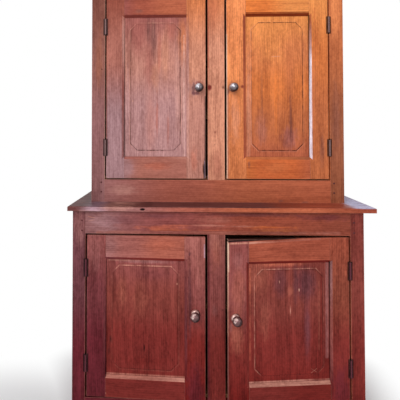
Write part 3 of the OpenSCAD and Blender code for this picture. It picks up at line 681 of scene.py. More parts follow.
def stained_wood(node, tones, grain, seed):
    """Old stained pine. The tones follow the board from its low or left end to the other."""
    finish = bpy.context.scene.cupboard_finish
    material, build, shader = new_material(
        node + "_finish", Specular_IOR_Level=finish.ledge_gloss if node == "ledge" else finish.gloss)
    place = shut_place(build, node)
    facing = build.coordinate("Normal")
    colour = stain(build, node, tones, grain, place, facing)
    low, high = shut_box(node)
    edges = build.shared("Edge wear", Vector=place, Low=low, High=high, Width=finish.wear_width)
    worn = build.times(edges["Edge"], finish.wear)
    colour = build.mix(worn, colour, paint("worn"))
    # The backs of the boards were never stained
    behind = build.remap(build.parts(facing)[1], 0.4, 0.8, smooth=True)
    colour = build.mix(behind, colour, paint("bare"))
    figure = finish.figure_above if node.startswith("upper") else finish.figure_below
    if grain == "X":
        figure = figure * finish.figure_on_rails
    lines = grain_lines(build, place, grain, seed)
    dull = build.remap(lines["Streak"], 0.3, 0.7, finish.roughness + 0.06, finish.roughness - 0.04)
    dull = build.plus(dull, build.times(worn, 0.3))
    height = build.plus(build.times(lines["Fibre"], 0.6), build.times(lines["Ring"], 0.25))
    build.surface(shader, finish.grain_depth, 0.5, build.plus(height, build.times(lines["Streak"], 0.5)),
                  Base_Color=grain_figure(build, lines, colour, figure),
                  Roughness=build.plus(dull, build.times(behind, 0.3), clamp=True))
    dress(node, material)
    wear_in(node, finish.edge_round)


# Tones of each board, from its low or left end to its other end: the stain's own colour with painted light
# in it, warmer toward the upper right and with a painted violet sheen toward the left
UPRIGHT_TONES = {
    "lower_left_side": "plum plum slate slate",
    "lower_right_side": "ember garnet cherry cherry",
    "lower_left_stile": "plum plum slate slate",
    "lower_centre_stile": "garnet garnet maroon old_rose",
    "lower_right_stile": "burgundy garnet cherry cherry",
    "upper_left_side": "heather heather umber walnut",
    "upper_right_side": "saddle saddle chestnut copper",
    "upper_left_stile": "heather heather umber walnut",
    "upper_centre_stile": "salmon salmon salmon copper",
    "upper_right_stile": "saddle saddle chestnut copper",
    "upper_left_door_hinge_stile": "mauve mauve clay auburn",
    "upper_left_door_lock_stile": "rosewood rosewood salmon copper",
    "upper_right_door_lock_stile": "copper copper amber amber",
    "upper_right_door_hinge_stile": "chestnut chestnut russet honey",
    "lower_left_door_hinge_stile": "plum plum oxblood maroon",
    "lower_left_door_lock_stile": "ember burgundy maroon old_rose",
    "lower_right_door_lock_stile": "ember garnet maroon maroon",
    "lower_right_door_hinge_stile": "burgundy garnet auburn sienna",
}
LEVEL_TONES = {
    "lower_top_rail": "heather maroon sienna auburn",
    "lower_bottom_rail": "plum burgundy burgundy",
    "ledge": "mauve dusk brick cedar cedar sienna",
    "upper_top_rail": "umber brick cedar",
    "upper_bottom_rail": "dusk brick cedar cedar",
    "cornice": "umber brick cedar",
    "upper_left_door_top_rail": "maroon sienna cedar cedar",
    "upper_left_door_bottom_rail": "mauve clay clay clay",
    "upper_right_door_top_rail": "orange orange honey honey",
    "upper_right_door_bottom_rail": "russet rust rust cedar",
    "lower_left_door_top_rail": "dusk old_rose brick brick",
    "lower_left_door_bottom_rail": "garnet garnet garnet",
    "lower_right_door_top_rail": "sienna sienna sienna",
    "lower_right_door_bottom_rail": "garnet garnet burgundy burgundy",
}
PANEL_TONES = {
    "upper_left_door_panel": "petal petal rosewood old_rose",
    "upper_right_door_panel": "cedar chestnut russet copper honey",
    "lower_left_door_panel": "garnet garnet cherry maroon",
    "lower_right_door_panel": "burgundy garnet cherry cherry",
}
# Painted light and shade of slopes and tops: which way each one faces, then its tones along the board. Lit
# tones go where light would fall or where a gap should look less dark, shaded tones under edges
LEFT = (-1, 0, 0)
RIGHT = (1, 0, 0)
DOWN = (0, 0, -1)
UP = (0, 0, 1)
LIT_AND_SHADED_FACES = {
    "ledge": {UP: "grime soot soot bark bark bark bark bark auburn sienna sienna haze"},
    "upper_left_stile": {RIGHT: "cream cream"},
    "upper_centre_stile": {LEFT: "sienna russet"},
    "upper_right_stile": {LEFT: "amber amber"},
    "lower_left_stile": {RIGHT: "brick brick"},
    "lower_centre_stile": {LEFT: "maroon maroon"},
    "lower_right_stile": {LEFT: "terracotta terracotta"},
    "upper_left_door_hinge_stile": {RIGHT: "dusk dusk old_rose blush brick"},
    "upper_left_door_lock_stile": {LEFT: "blush blush blush copper"},
    "upper_left_door_top_rail": {DOWN: "cherry cherry auburn"},
    "upper_left_door_bottom_rail": {UP: "old_rose clay rosewood"},
    "upper_right_door_lock_stile": {RIGHT: "sienna cedar cedar sienna", LEFT: "blush shell shell"},
    "upper_right_door_hinge_stile": {LEFT: "sheen sheen sheen sheen sheen sheen blush chestnut chestnut"},
    "upper_right_door_top_rail": {DOWN: "scorch scorch"},
    "upper_right_door_bottom_rail": {UP: "copper chestnut saddle"},
    "lower_left_door_hinge_stile": {RIGHT: "plum oxblood maroon"},
    "lower_left_door_lock_stile": {LEFT: "ember oxblood maroon"},
    "lower_left_door_top_rail": {DOWN: "oxblood garnet burgundy"},
    "lower_left_door_bottom_rail": {UP: "clay clay rosewood"},
    "lower_right_door_lock_stile": {RIGHT: "garnet garnet", LEFT: "maroon rosewood cream",
                                    UP: "garnet garnet garnet ink"},
    "lower_right_door_hinge_stile": {LEFT: "garnet maroon rouge dusk mauve"},
    "lower_right_door_top_rail": {DOWN: "garnet ember burgundy", UP: "ink ink soot brick"},
    "lower_right_door_bottom_rail": {UP: "rosewood rosewood"},
}
# Strengths of the dark and of the light line on a field's left, right, bottom and top: dirt and wear, with
# painted shade and highlight that differ by side
FIELD_LINES = {
    "upper_left_door_panel": ((0.7, 0.9, 1.0, 0.3), (0.45, 0.45, 0.15, 0.3)),
    "upper_right_door_panel": ((0.55, 1.0, 1.0, 0.9), (0.6, 0.15, 0.3, 0.15)),
    "lower_left_door_panel": ((0.3, 0.25, 0.35, 0.1), (0.08, 0.12, 0.1, 0.85)),
    "lower_right_door_panel": ((0.4, 0.4, 0.05, 0.3), (0.5, 0.1, 0.02, 0.7)),
}
# The lower right door has sagged, so a dark wedge shows over it; its shade is painted as a dark line on the
# door's top edge
SAG_SHADE_LINE = Line("Dark top edge", "ink", 0.020, 0.7685, 0.300, 0.7765, 0.006, 1.0, 0.0)
# Single marks of age, and marks of painted light and shade. Their places are in metres from the frame's
# origin, with the doors shut.
MARKS = {
    "upper_left_door_panel": (
        Patch("Dirt near the top left", "rouge", -0.345, 1.620, 0.060, 0.150, 0.7, EVEN),
        Patch("Dark column in the middle", "rouge", -0.296, 1.500, 0.040, 0.160, 0.6, EVEN),
        Patch("Rubbed right side", "blush", -0.158, 1.420, 0.040, 0.330, 0.8, EVEN),
        Patch("Dirt near the top right", "brick", -0.200, 1.640, 0.036, 0.06, 0.5),
        Patch("Warm top of the right slope", "copper", -0.150, 1.610, 0.030, 0.150, 0.7, EVEN),
        Patch("Rubbed middle", "salmon", -0.226, 1.541, 0.026, 0.15, 0.6, FIRM),
        Patch("Rosy streak beside it", "terracotta", -0.252, 1.540, 0.012, 0.13, 0.4, FIRM),
        Patch("Rubbed below the dark streak", "salmon", -0.270, 1.442, 0.024, 0.08, 0.5),
        Patch("Dark streak", "bark", -0.277, 1.625, 0.020, 0.14, 0.7, (0.9, 0.5)),
        Patch("Second dark streak", "bark", -0.300, 1.640, 0.012, 0.09, 0.6, (0.9, 0.5)),
        Patch("Dark column below", "clay", -0.290, 1.250, 0.034, 0.22, 0.45, FIRM),
        Line("Rubbed rim on the right", "shell", -0.144, 1.620, -0.143, 1.085, 0.0050, 0.5, 0.5),
        Line("Rubbed rim on the left", "petal", -0.390, 1.500, -0.390, 1.090, 0.004, 0.4),
        Patch("Thin streak below", "brick", -0.261, 1.272, 0.008, 0.13, 0.6),
        Patch("Second thin streak", "brick", -0.213, 1.207, 0.008, 0.09, 0.5),
        Patch("Worn speck", "worn", -0.368, 1.333, 0.006, 0.007, 0.6),
        Line("Light scratch across", "rubbed", -0.300, 1.677, -0.239, 1.677, 0.002, 0.5),
        Line("Light scratch down", "rubbed", -0.279, 1.690, -0.279, 1.610, 0.0018, 0.5)),
    "upper_left_door_lock_stile": (
        Patch("Film at the knob", "mauve", -0.094, 1.386, 0.044, 0.044, 0.6, (0.9, 1.5)),
        # Dirt and the knob's painted shadow lie left of and under the knob
        Patch("Dirt and shadow left of the knob", "bark", -0.099, 1.388, 0.016, 0.024, 0.7, (0.8, 2.5)),
        Patch("Dirt and shadow under the knob", "slate", -0.090, 1.366, 0.026, 0.012, 0.8, (0.8, 2.0)),
        Patch("Dirt above the knob", "maroon", -0.080, 1.412, 0.024, 0.009, 0.7, STREAKY),
        Patch("Bright lower end", "terracotta", -0.100, 1.077, 0.021, 0.078, 0.4),
        # The dark latch edge and the wedge below it are painted shade of the gap beside the door
        Line("Dark latch edge", "ink", -0.0505, 1.350, -0.0515, 1.060, 0.006, 0.9, 0.15),
        Patch("Dark wedge at the latch side", "ink", -0.053, 1.034, 0.014, 0.060, 0.95, (0.6, 0.6)),
        Line("Chipped edge", "haze", -0.055, 1.072, -0.053, 0.999, 0.002, 0.5)),
    "upper_left_door_hinge_stile": (
        # A brown line of painted shade runs beside the hinge gap
        Line("Shade painted beside the gap", "auburn", -0.4835, 1.760, -0.4835, 1.130, 0.005, 0.8, 0.2),
        Patch("Faint nail", "grime", -0.470, 1.490, 0.003, 0.004, 0.5)),
    "upper_left_stile": (
        Patch("Nail", "ink", -0.504, 1.472, 0.0042, 0.0042, 0.9, (0.5, 1.2)),
        Patch("Dark top", "walnut", -0.520, 1.720, 0.050, 0.150, 0.6),
        Patch("Brown middle", "saddle", -0.516, 1.514, 0.023, 0.177, 0.4)),
    "upper_left_door_bottom_rail": (
        Patch("Rusty middle", "terracotta", -0.261, 1.050, 0.078, 0.026, 0.5),
        # A violet sheen of window light is painted at the left end
        Patch("Sheen painted at the left end", "mauve", -0.383, 1.041, 0.030, 0.045, 0.5)),
    "upper_left_door_top_rail": (
        Patch("Dirt above the panel", "umber", -0.340, 1.728, 0.026, 0.014, 0.6),),
    "upper_centre_stile": (
        Patch("Latch mark on the left", "garnet", -0.034, 1.391, 0.013, 0.018, 1.0, (0.6, 0.6)),
        Patch("Latch mark on the right", "soot", 0.027, 1.391, 0.009, 0.016, 0.8, STREAKY),
        # Brown lines of painted shade run beside the gap
        Line("Shade painted beside the gap", "sienna", -0.0405, 1.800, -0.0405, 1.480, 0.0065, 0.9, 0.1),
        Line("Shade painted lower down", "sienna", -0.0410, 1.480, -0.0410, 1.300, 0.0045, 0.8, 0.3),
        Patch("Brown top", "cedar", -0.016, 1.740, 0.044, 0.150, 0.6, EVEN),
        Patch("Brown foot", "brick", -0.001, 1.050, 0.034, 0.110, 0.5, EVEN),
        Patch("Small knot", "garnet", -0.009, 1.196, 0.005, 0.007, 0.6),
        Patch("Pin hole", "grime", -0.012, 1.142, 0.003, 0.003, 0.6),
        Line("Chipped edge", "haze", -0.043, 1.072, -0.042, 0.985, 0.004, 0.8)),
    "upper_right_door_panel": (
        Patch("Golden top", "honey", 0.230, 1.590, 0.100, 0.130, 0.6),
        Patch("Brown right side", "chestnut", 0.314, 1.450, 0.036, 0.200, 0.8, EVEN),
        Patch("Light left slope", "salmon", 0.136, 1.290, 0.016, 0.360, 0.7, EVEN),
        Patch("Rosy lower left", "clay", 0.192, 1.210, 0.034, 0.10, 0.6),
        Patch("Violet lower right", "old_rose", 0.311, 1.172, 0.045, 0.070, 0.8),
        Patch("Dark streak on the left", "saddle", 0.193, 1.336, 0.007, 0.18, 0.6),
        Patch("Dark streak on the right", "bark", 0.316, 1.258, 0.010, 0.13, 0.65),
        Patch("Bright streak", "orange", 0.253, 1.336, 0.011, 0.20, 0.5),
        Line("Light scratch", "worn", 0.237, 1.524, 0.271, 1.526, 0.002, 0.6, 0.2)),
    "upper_right_door_lock_stile": (
        Patch("Rosy middle", "salmon", 0.077, 1.250, 0.030, 0.130, 0.5),
        Patch("Ring of dirt at the knob", "umber", 0.066, 1.388, 0.036, 0.036, 0.5, (0.6, 0.8)),
        # Dirt and the knob's painted shadow lie under the knob
        Patch("Dirt and shadow under the knob", "ink", 0.045, 1.370, 0.010, 0.020, 0.9, (0.7, 1.2)),
        Patch("Speck beside the knob", "garnet", 0.108, 1.394, 0.010, 0.011, 0.9, (0.7, 1.2)),
        Line("Rosy edge", "clay", 0.0465, 1.380, 0.0460, 0.999, 0.006, 0.6, 0.3),
        Line("Worn edge", "cream", 0.0415, 1.620, 0.0410, 0.999, 0.0040, 0.9, 0.2)),
    "upper_right_door_top_rail": (
        Line("Dark edge over the panel", "scorch", 0.120, 1.7145, 0.410, 1.7145, 0.0045, 0.9, 0.2),),
    "upper_right_door_bottom_rail": (
        Patch("Dark mark", "umber", 0.136, 1.056, 0.008, 0.021, 0.6),
        Patch("Bright middle", "copper", 0.247, 1.043, 0.085, 0.034, 0.3)),
    "upper_right_door_hinge_stile": (
        Line("Flame in the grain", "rust", 0.418, 1.733, 0.422, 1.508, 0.003, 0.6),
        Line("Inner flame", "rust", 0.430, 1.680, 0.431, 1.551, 0.0025, 0.5),
        Patch("Brown inner side", "chestnut", 0.417, 1.335, 0.018, 0.300, 0.7, EVEN),
        Patch("Dark lower edge", "umber", 0.447, 1.121, 0.014, 0.107, 0.5)),
    "upper_right_stile": (
        Patch("Golden top", "amber", 0.506, 1.720, 0.030, 0.150, 0.7),
        Patch("Brown middle", "umber", 0.507, 1.250, 0.023, 0.214, 0.4)),
    "upper_bottom_rail": (
        Patch("Rosy left end", "blush", -0.410, 0.945, 0.079, 0.034, 0.5),
        Patch("Knot", "umber", 0.272, 0.902, 0.017, 0.008, 0.7),
        Patch("Second knot", "umber", 0.373, 0.897, 0.021, 0.006, 0.6)),
    "ledge": (
        # A bluish sheen of window light is painted at the left end
        Patch("Sheen painted at the left end", "haze", -0.510, 0.886, 0.080, 0.020, 0.4),
        Patch("Dark tip", "bark", -0.625, 0.886, 0.110, 0.100, 1.0, (0.7, 0.6)),
        Patch("Rosy left part", "blush", -0.410, 0.888, 0.110, 0.012, 0.7),
        Patch("Knot", "ink", -0.312, 0.884, 0.013, 0.006, 1.0, (0.5, 0.8)),
        Line("Dirt behind the knot", "grime", -0.306, 0.896, -0.277, 0.896, 0.003, 0.7),
        Patch("Window light on the end", "sky", 0.580, 0.8945, 0.060, 0.003, 1.0, (0.6, 0.1))),
    "lower_top_rail": (
        # A violet sheen of window light is painted at the left end
        Patch("Sheen painted at the left end", "mauve", -0.473, 0.828, 0.085, 0.055, 0.5),
        Patch("Violet streak", "slate", -0.242, 0.854, 0.103, 0.012, 0.5),
        Patch("Long violet streak", "slate", 0.123, 0.861, 0.260, 0.012, 0.6),
        Patch("Bright streak on the left", "terracotta", -0.232, 0.807, 0.130, 0.012, 0.75, STREAKY),
        Patch("Lower streak on the left", "cedar", -0.200, 0.797, 0.110, 0.008, 0.7, STREAKY),
        Patch("Thin streak on the left", "terracotta", -0.170, 0.816, 0.080, 0.005, 0.6, STREAKY),
        Patch("Bright streak on the right", "rust", 0.205, 0.811, 0.120, 0.008, 0.8, STREAKY),
        Patch("Lower bright streak", "chestnut", 0.230, 0.799, 0.110, 0.007, 0.7, STREAKY),
        Patch("Rosy middle", "clay", -0.018, 0.840, 0.089, 0.019, 0.4),
        Patch("Dark stretch on the left", "slate", -0.400, 0.836, 0.110, 0.026, 0.45, (0.9, 1.2)),
        Patch("Dark upper right", "oxblood", 0.424, 0.852, 0.150, 0.020, 0.7, (0.9, 1.2)),
        Line("Light lower edge", "clay", -0.500, 0.785, 0.480, 0.790, 0.009, 0.6, 0.5),
        Line("Scribble", "rubbed", -0.539, 0.850, -0.513, 0.844, 0.002, 0.6),
        Line("Lower scribble", "rubbed", -0.537, 0.831, -0.514, 0.836, 0.002, 0.5),
        Patch("Light streak", "clay", -0.050, 0.817, 0.090, 0.006, 0.8, STREAKY),
        Patch("Second light streak", "clay", 0.080, 0.814, 0.100, 0.005, 0.6, STREAKY),
        Patch("Third light streak", "terracotta", -0.010, 0.797, 0.110, 0.005, 0.6, STREAKY),
        Line("Shadow under the ledge", "grime", -0.58, 0.873, 0.56, 0.873, 0.004, 0.6, 0.1)),
    "lower_left_stile": (
        # A violet sheen of window light is painted at the top
        Patch("Sheen painted at the top", "dusk", -0.575, 0.830, 0.040, 0.150, 0.7),),
    "lower_centre_stile": (
        Patch("Rosy top", "brick", -0.014, 0.698, 0.032, 0.080, 0.5),
        # A sheen of window light is painted at the top
        Patch("Sheen painted at the top", "clay", -0.014, 0.770, 0.050, 0.080, 0.5),
        Patch("Grey patch", "dusk", -0.018, 0.473, 0.020, 0.028, 0.3),
        Patch("Old latch mark", "grime", 0.012, 0.477, 0.005, 0.007, 0.7),
        Line("Dark left edge", "plum", -0.047, 0.800, -0.047, 0.100, 0.010, 0.8, 0.2)),
    "lower_left_door_panel": (
        # A painted highlight widens the lit slope of the rail below
        Line("Highlight painted over the rail", "clay", -0.470, 0.2105, -0.130, 0.2105, 0.0055, 0.9, 0.1),
        Patch("Greyish slope at the top", "dusk", -0.303, 0.668, 0.150, 0.011, 0.7),
        Line("Light line under the slope", "rosewood", -0.455, 0.671, -0.143, 0.680, 0.004, 0.7, 0.4),
        Patch("Dark top of the field", "oxblood", -0.282, 0.619, 0.102, 0.033, 0.4),
        Patch("Bright left", "brick", -0.397, 0.546, 0.025, 0.080, 0.5),
        Patch("Bright middle", "brick", -0.322, 0.517, 0.041, 0.099, 0.3),
        Patch("Dark mark", "ink", -0.306, 0.321, 0.004, 0.021, 0.7, (0.5, 1.2)),
        Patch("Chip in the slope", "grime", -0.447, 0.350, 0.008, 0.022, 0.6),
        Patch("Second chip", "grime", -0.454, 0.302, 0.005, 0.022, 0.4),
        Patch("Pale spot", "rubbed", -0.172, 0.583, 0.005, 0.006, 0.7),
        Patch("Dark bottom", "burgundy", -0.302, 0.269, 0.122, 0.026, 0.6),
        Line("Long dark line", "grime", -0.284, 0.518, -0.289, 0.230, 0.002, 0.5),
        Line("Short dark line", "grime", -0.228, 0.520, -0.228, 0.420, 0.002, 0.35)),
    "lower_left_door_top_rail": (
        # A violet sheen of window light is painted at the left end
        Patch("Sheen painted at the left end", "dusk", -0.445, 0.731, 0.035, 0.050, 0.7),
        Patch("Bright middle", "terracotta", -0.231, 0.740, 0.095, 0.034, 0.35)),
    "lower_left_door_bottom_rail": (
        Patch("Pale spot", "rubbed", -0.466, 0.136, 0.005, 0.004, 0.6),),
    "lower_left_door_lock_stile": (
        Patch("Violet band", "slate", -0.120, 0.525, 0.010, 0.219, 0.6),
        Patch("Knot", "slate", -0.119, 0.707, 0.008, 0.012, 0.7),
        Patch("Rosy upper part", "old_rose", -0.083, 0.640, 0.016, 0.120, 0.6),
        Patch("Red lower part", "garnet", -0.088, 0.300, 0.020, 0.117, 0.5),
        Patch("Dark foot", "plum", -0.100, 0.170, 0.050, 0.140, 0.7),
        Patch("Shade at the knob", "oxblood", -0.082, 0.455, 0.014, 0.024, 0.6),
        Line("Chipped edge", "haze", -0.0615, 0.745, -0.0610, 0.695, 0.004, 0.8)),
    "lower_left_door_hinge_stile": (
        # A violet sheen of window light is painted at the top
        Patch("Sheen painted at the top", "dusk", -0.515, 0.720, 0.055, 0.130, 0.3),),
    "lower_right_door_panel": (
        # A painted highlight widens the lit slope of the rail below
        Line("Highlight painted over the rail", "rosewood", 0.090, 0.2105, 0.440, 0.2105, 0.0055, 0.9, 0.1),
        Patch("Bright slope at the top", "terracotta", 0.230, 0.675, 0.160, 0.020, 0.8),
        Patch("Bright upper left", "brick", 0.150, 0.630, 0.060, 0.110, 0.7, (0.9, 0.8)),
        Patch("Dark streak down", "oxblood", 0.347, 0.420, 0.022, 0.200, 0.7, EVEN),
        Patch("Dark lower right", "burgundy", 0.395, 0.230, 0.080, 0.120, 0.7, EVEN),
        # A violet sheen of window light is painted on the right slope
        Line("Sheen painted on the right slope", "dusk", 0.431, 0.700, 0.428, 0.300, 0.010, 0.6, 0.3),
        Patch("Violet upper right", "slate", 0.342, 0.594, 0.058, 0.095, 0.85, FIRM),
        Patch("Dark streak beside it", "oxblood", 0.318, 0.590, 0.010, 0.070, 0.7, FIRM),
        Patch("Violet upper left", "slate", 0.238, 0.603, 0.040, 0.090, 0.6, FIRM),
        Patch("Bright patch between", "brick", 0.279, 0.564, 0.018, 0.028, 0.6),
        Patch("Violet streak down", "slate", 0.347, 0.413, 0.015, 0.118, 0.5),
        Patch("Bright left", "brick", 0.173, 0.458, 0.032, 0.118, 0.35),
        Patch("Pale speck", "worn", 0.234, 0.603, 0.003, 0.009, 0.7),
        Patch("Second pale speck", "worn", 0.314, 0.568, 0.003, 0.010, 0.8),
        Patch("Pale streak", "rubbed", 0.278, 0.490, 0.003, 0.024, 0.6),
        Line("Scribble rising", "rubbed", 0.362, 0.240, 0.384, 0.256, 0.0015, 0.5),
        Line("Scribble falling", "rubbed", 0.362, 0.256, 0.384, 0.242, 0.0015, 0.4),
        Line("Light line beside the slope", "terracotta", 0.115, 0.655, 0.115, 0.560, 0.006, 0.7, 0.6),
        Line("Faint line below it", "terracotta", 0.115, 0.560, 0.114, 0.300, 0.005, 0.35, 0.7),
        Patch("Violet column", "slate", 0.300, 0.600, 0.016, 0.120, 0.6, FIRM),
        Line("Light line under the top slope", "rubbed", 0.134, 0.681, 0.316, 0.678, 0.004, 0.6),
        Line("Dark line inside the field", "burgundy", 0.406, 0.628, 0.403, 0.293, 0.005, 0.7),
        Line("Pink line inside it", "brick", 0.396, 0.600, 0.394, 0.330, 0.004, 0.5)),
    "lower_right_door_lock_stile": (
        # A violet sheen of window light is painted on the upper part
        Patch("Sheen painted on the upper part", "dusk", 0.065, 0.687, 0.028, 0.055, 0.3),
        Patch("Bright middle", "brick", 0.060, 0.400, 0.040, 0.110, 0.7),
        Patch("Warm upper part", "brick", 0.066, 0.580, 0.040, 0.130, 0.5),
        Patch("Red lower part", "burgundy", 0.064, 0.248, 0.028, 0.078, 0.4),
        Patch("Grey under the knob", "dusk", 0.035, 0.435, 0.008, 0.027, 0.5),
        Line("Bare edge", "cream", 0.026, 0.758, 0.026, 0.650, 0.005, 0.9, 0.2),
        Line("Worn edge below", "worn", 0.025, 0.660, 0.025, 0.400, 0.004, 0.7, 0.3),
        Line("Dusty lower edge", "dusk", 0.025, 0.380, 0.025, 0.130, 0.003, 0.4),
        SAG_SHADE_LINE,
        Line("Worn top", "rubbed", 0.030, 0.759, 0.104, 0.760, 0.005, 0.8, 0.3)),
    "lower_right_door_top_rail": (
        SAG_SHADE_LINE,
        Line("Worn top", "rubbed", 0.104, 0.759, 0.140, 0.760, 0.005, 0.9),
        Patch("Worn top fading", "rubbed", 0.150, 0.762, 0.100, 0.006, 0.6, (0.9, 0.8)),
        Line("Worn top rising", "clay", 0.140, 0.761, 0.400, 0.7700, 0.004, 0.6, 0.4),
        Line("Light edge at the joint", "worn", 0.106, 0.765, 0.106, 0.702, 0.002, 0.4),
        Patch("Bright left end", "terracotta", 0.162, 0.724, 0.048, 0.029, 0.5)),
    "lower_right_door_hinge_stile": (
        Patch("Bright spot at the hinge", "terracotta", 0.504, 0.633, 0.006, 0.016, 0.6),
        Patch("Dark foot", "plum", 0.480, 0.180, 0.060, 0.140, 0.7)),
}


def finish_boards(owner):
    """Stains the boards of the lower case, of the upper case or of the doors"""
    for tones, grain in ((UPRIGHT_TONES, "Z"), (LEVEL_TONES, "X")):
        names = [node for node in tones if owner_of(node) == owner]
        for index, node in enumerate(names):
            stained_wood(node, tones[node], grain, index + len(names) * 0.37)


def owner_of(node):
    """The part of the cupboard that a board belongs to"""
    if "_door_" in node:
        return "doors"
    return "lower case" if node == "ledge" or node.startswith("lower") else "upper case"


def mark_boards(build, colour, place, left, right, rows):
    """Gives each back board its own shade, dirty joints and nails at the heights in rows"""
    boards = 7
    joint_w = 0.0022
    head_r = 0.0034
    pitch = (right - left) / boards
    x, _, z = build.parts(place)
    from_left = build.less(x, left)
    board = build.sum("FLOOR", build.sum("DIVIDE", from_left, pitch))
    chance = build.add("ShaderNodeTexWhiteNoise", {"noise_dimensions": "1D"}, W=board).outputs["Value"]
    colour = build.vector("SCALE", colour, scale=build.remap(chance, 0, 1, 0.78, 1.15))
    to_joint = build.sum("PINGPONG", from_left, pitch / 2)
    joint = build.remap(to_joint, joint_w, joint_w * 0.3, smooth=True)
    colour = build.mix(build.times(joint, 0.85), colour, paint("ink"))
    # Two nails stand a quarter of a board in from its edges, so they are half a board apart
    across = build.sum("PINGPONG", build.less(x, left - pitch / 4), pitch / 4)
    across = build.less(pitch / 4, across)
    above = 1.0
    for row in rows:
        above = build.sum("MINIMUM", above, build.sum("ABSOLUTE", build.less(z, row)))
    reach = build.vector("LENGTH", build.join(across, 0.0, above))
    head = build.remap(reach, head_r, head_r * 0.8, smooth=True)
    return build.mix(head, colour, paint("ink"))


def bare_wood(node, grain, seed, nail_rows=()):
    """Unfinished pine, dark with age and dust"""
    finish = bpy.context.scene.cupboard_finish
    material, build, shader = new_material(node + "_finish", Specular_IOR_Level=0.15)
    place = shut_place(build, node)
    low, high = shut_box(node)
    lines = grain_lines(build, place, grain, seed)
    shade = build.remap(lines["Streak"], 0.3, 0.7, 0.78, 1.2)
    shade = build.times(shade, build.remap(lines["Ring"], 0, 1, 0.93, 1.05))
    shade = build.times(shade, build.remap(lines["Band"], 0.3, 0.7, 0.85, 1.12))
    colour = build.vector("SCALE", paint("bare"), scale=shade)
    long_way = build.vector("MULTIPLY", along_z(build, place, grain), (14, 14, 3))
    dirt = build.remap(build.noise(long_way, detail=4, roughness=0.6), 0.45, 0.75, smooth=True)
    colour = build.mix(build.times(dirt, 0.4), colour, paint("grime"))
    edges = build.shared("Edge wear", Vector=place, Low=low, High=high, Width=0.002)
    colour = build.mix(build.times(edges["Edge"], 0.3), colour, paint("worn"))
    if nail_rows:
        colour = mark_boards(build, colour, place, low.x, high.x, nail_rows)
    # Saw marks run across the grain
    saw_way = (3, 3, 220) if grain == "Z" else (220, 3, 3)
    saw = build.noise(build.vector("MULTIPLY", place, saw_way), detail=1)
    build.surface(shader, finish.grain_depth, 0.6, build.plus(lines["Fibre"], build.times(saw, 0.8)),
                  Base_Color=colour, Roughness=build.remap(lines["Fibre"], 0.3, 0.7, 0.9, 0.7))
    dress(node, material)
    wear_in(node, finish.edge_round * 0.6)


def ironwork():
    """Dull black iron with a little rust, and a painted highlight where it faces the front"""
    made = bpy.data.materials.get("old_iron")
    if made:
        return made
    material, build, shader = new_material("old_iron", Specular_IOR_Level=0.4)
    place = build.coordinate("Object")
    blotch = build.noise(place, scale=160, detail=5, roughness=0.65)
    pits = build.noise(place, scale=1500, detail=2)
    rust = build.remap(blotch, 0.52, 0.72, smooth=True)
    # Where the iron faces the front it is painted lighter, as a highlight, and the upper hinges are lighter
    # than the lower ones
    high = build.remap(build.parts(place)[2], 0.85, 0.95)
    front = build.remap(build.parts(build.coordinate("Normal"))[1], -0.55, -0.95, smooth=True)
    sides = build.mix(high, paint("lower_iron"), paint("upper_iron"))
    worn = build.mix(high, paint("lower_iron_worn"), paint("upper_iron_worn"))
    build.surface(shader, 0.0002, 0.5, build.plus(pits, blotch),
                  Base_Color=build.mix(rust, build.mix(front, sides, worn), paint("iron_rust")),
                  Metallic=build.remap(rust, 0, 1, 0.4, 0.1),
                  Roughness=build.remap(blotch, 0.3, 0.7, 0.42, 0.7))
    return material


def nickel_with_painted_light(door):
    """Tarnished nickel with a painted highlight on its upper left side, painted shade below and painted
    light on the collar's top
    """
    node = door + "_knob"
    collar_start = 0.042
    collar_end = 0.046
    bright, middle, dark, rim = (
        paint(f"{door.split('_')[0]}_knob_{part}") for part in ("bright", "middle", "dark", "collar"))
    material, build, shader = new_material(node + "_finish", Specular_IOR_Level=0.5)
    place = shut_place(build, node)
    smear = build.noise(place, scale=110, detail=4, roughness=0.6)
    specks = build.noise(place, scale=600, detail=3)
    # The highlight is painted where the knob faces the upper left, and the shade where it faces away
    upper_left = Vector((-0.6, -0.6, 0.5)).normalized()
    turned = build.vector("DOT_PRODUCT", build.coordinate("Normal"), upper_left)
    level = build.plus(turned, build.times(build.less(smear, 0.5), 1.5))
    below = build.remap(level, 0.55, -0.15, smooth=True)
    front = shut_box(node)[0].y
    collar = build.remap(build.parts(place)[1], front + collar_start, front + collar_end)
    colour = build.mix(build.remap(level, 0.7, 1.0, smooth=True), middle, bright)
    colour = build.mix(below, colour, dark)
    # The collar's top is painted light where it faces the upper left
    colour = build.mix(build.times(collar, build.remap(level, 0.1, 0.7, smooth=True)), colour, rim)
    colour = build.mix(build.remap(specks, 0.6, 0.75, 0, 0.6), colour, dark)
    build.surface(shader, 0.0002, 0.3, build.plus(smear, build.times(specks, 0.3)), Base_Color=colour,
                  Metallic=build.remap(below, 0, 1, 0.8, 0.5),
                  Roughness=build.remap(smear, 0.3, 0.7, 0.32, 0.5))
    return material


class FinishLowerCase(bpy.types.Operator):
    """Stains the lower case's boards and its ledge"""
    bl_idname = "cupboard.finish_lower_case"
    bl_label = "Finish the lower case"

    def execute(self, context):
        finish_boards("lower case")
        return {"FINISHED"}


class FinishUpperCase(bpy.types.Operator):
    """Stains the upper case's boards and its cornice"""
    bl_idname = "cupboard.finish_upper_case"
    bl_label = "Finish the upper case"

    def execute(self, context):
        finish_boards("upper case")
        return {"FINISHED"}


class FinishDoors(bpy.types.Operator):
    """Stains the stiles and rails of the four doors"""
    bl_idname = "cupboard.finish_doors"
    bl_label = "Finish the doors' frames"

    def execute(self, context):
        finish_boards("doors")
        return {"FINISHED"}


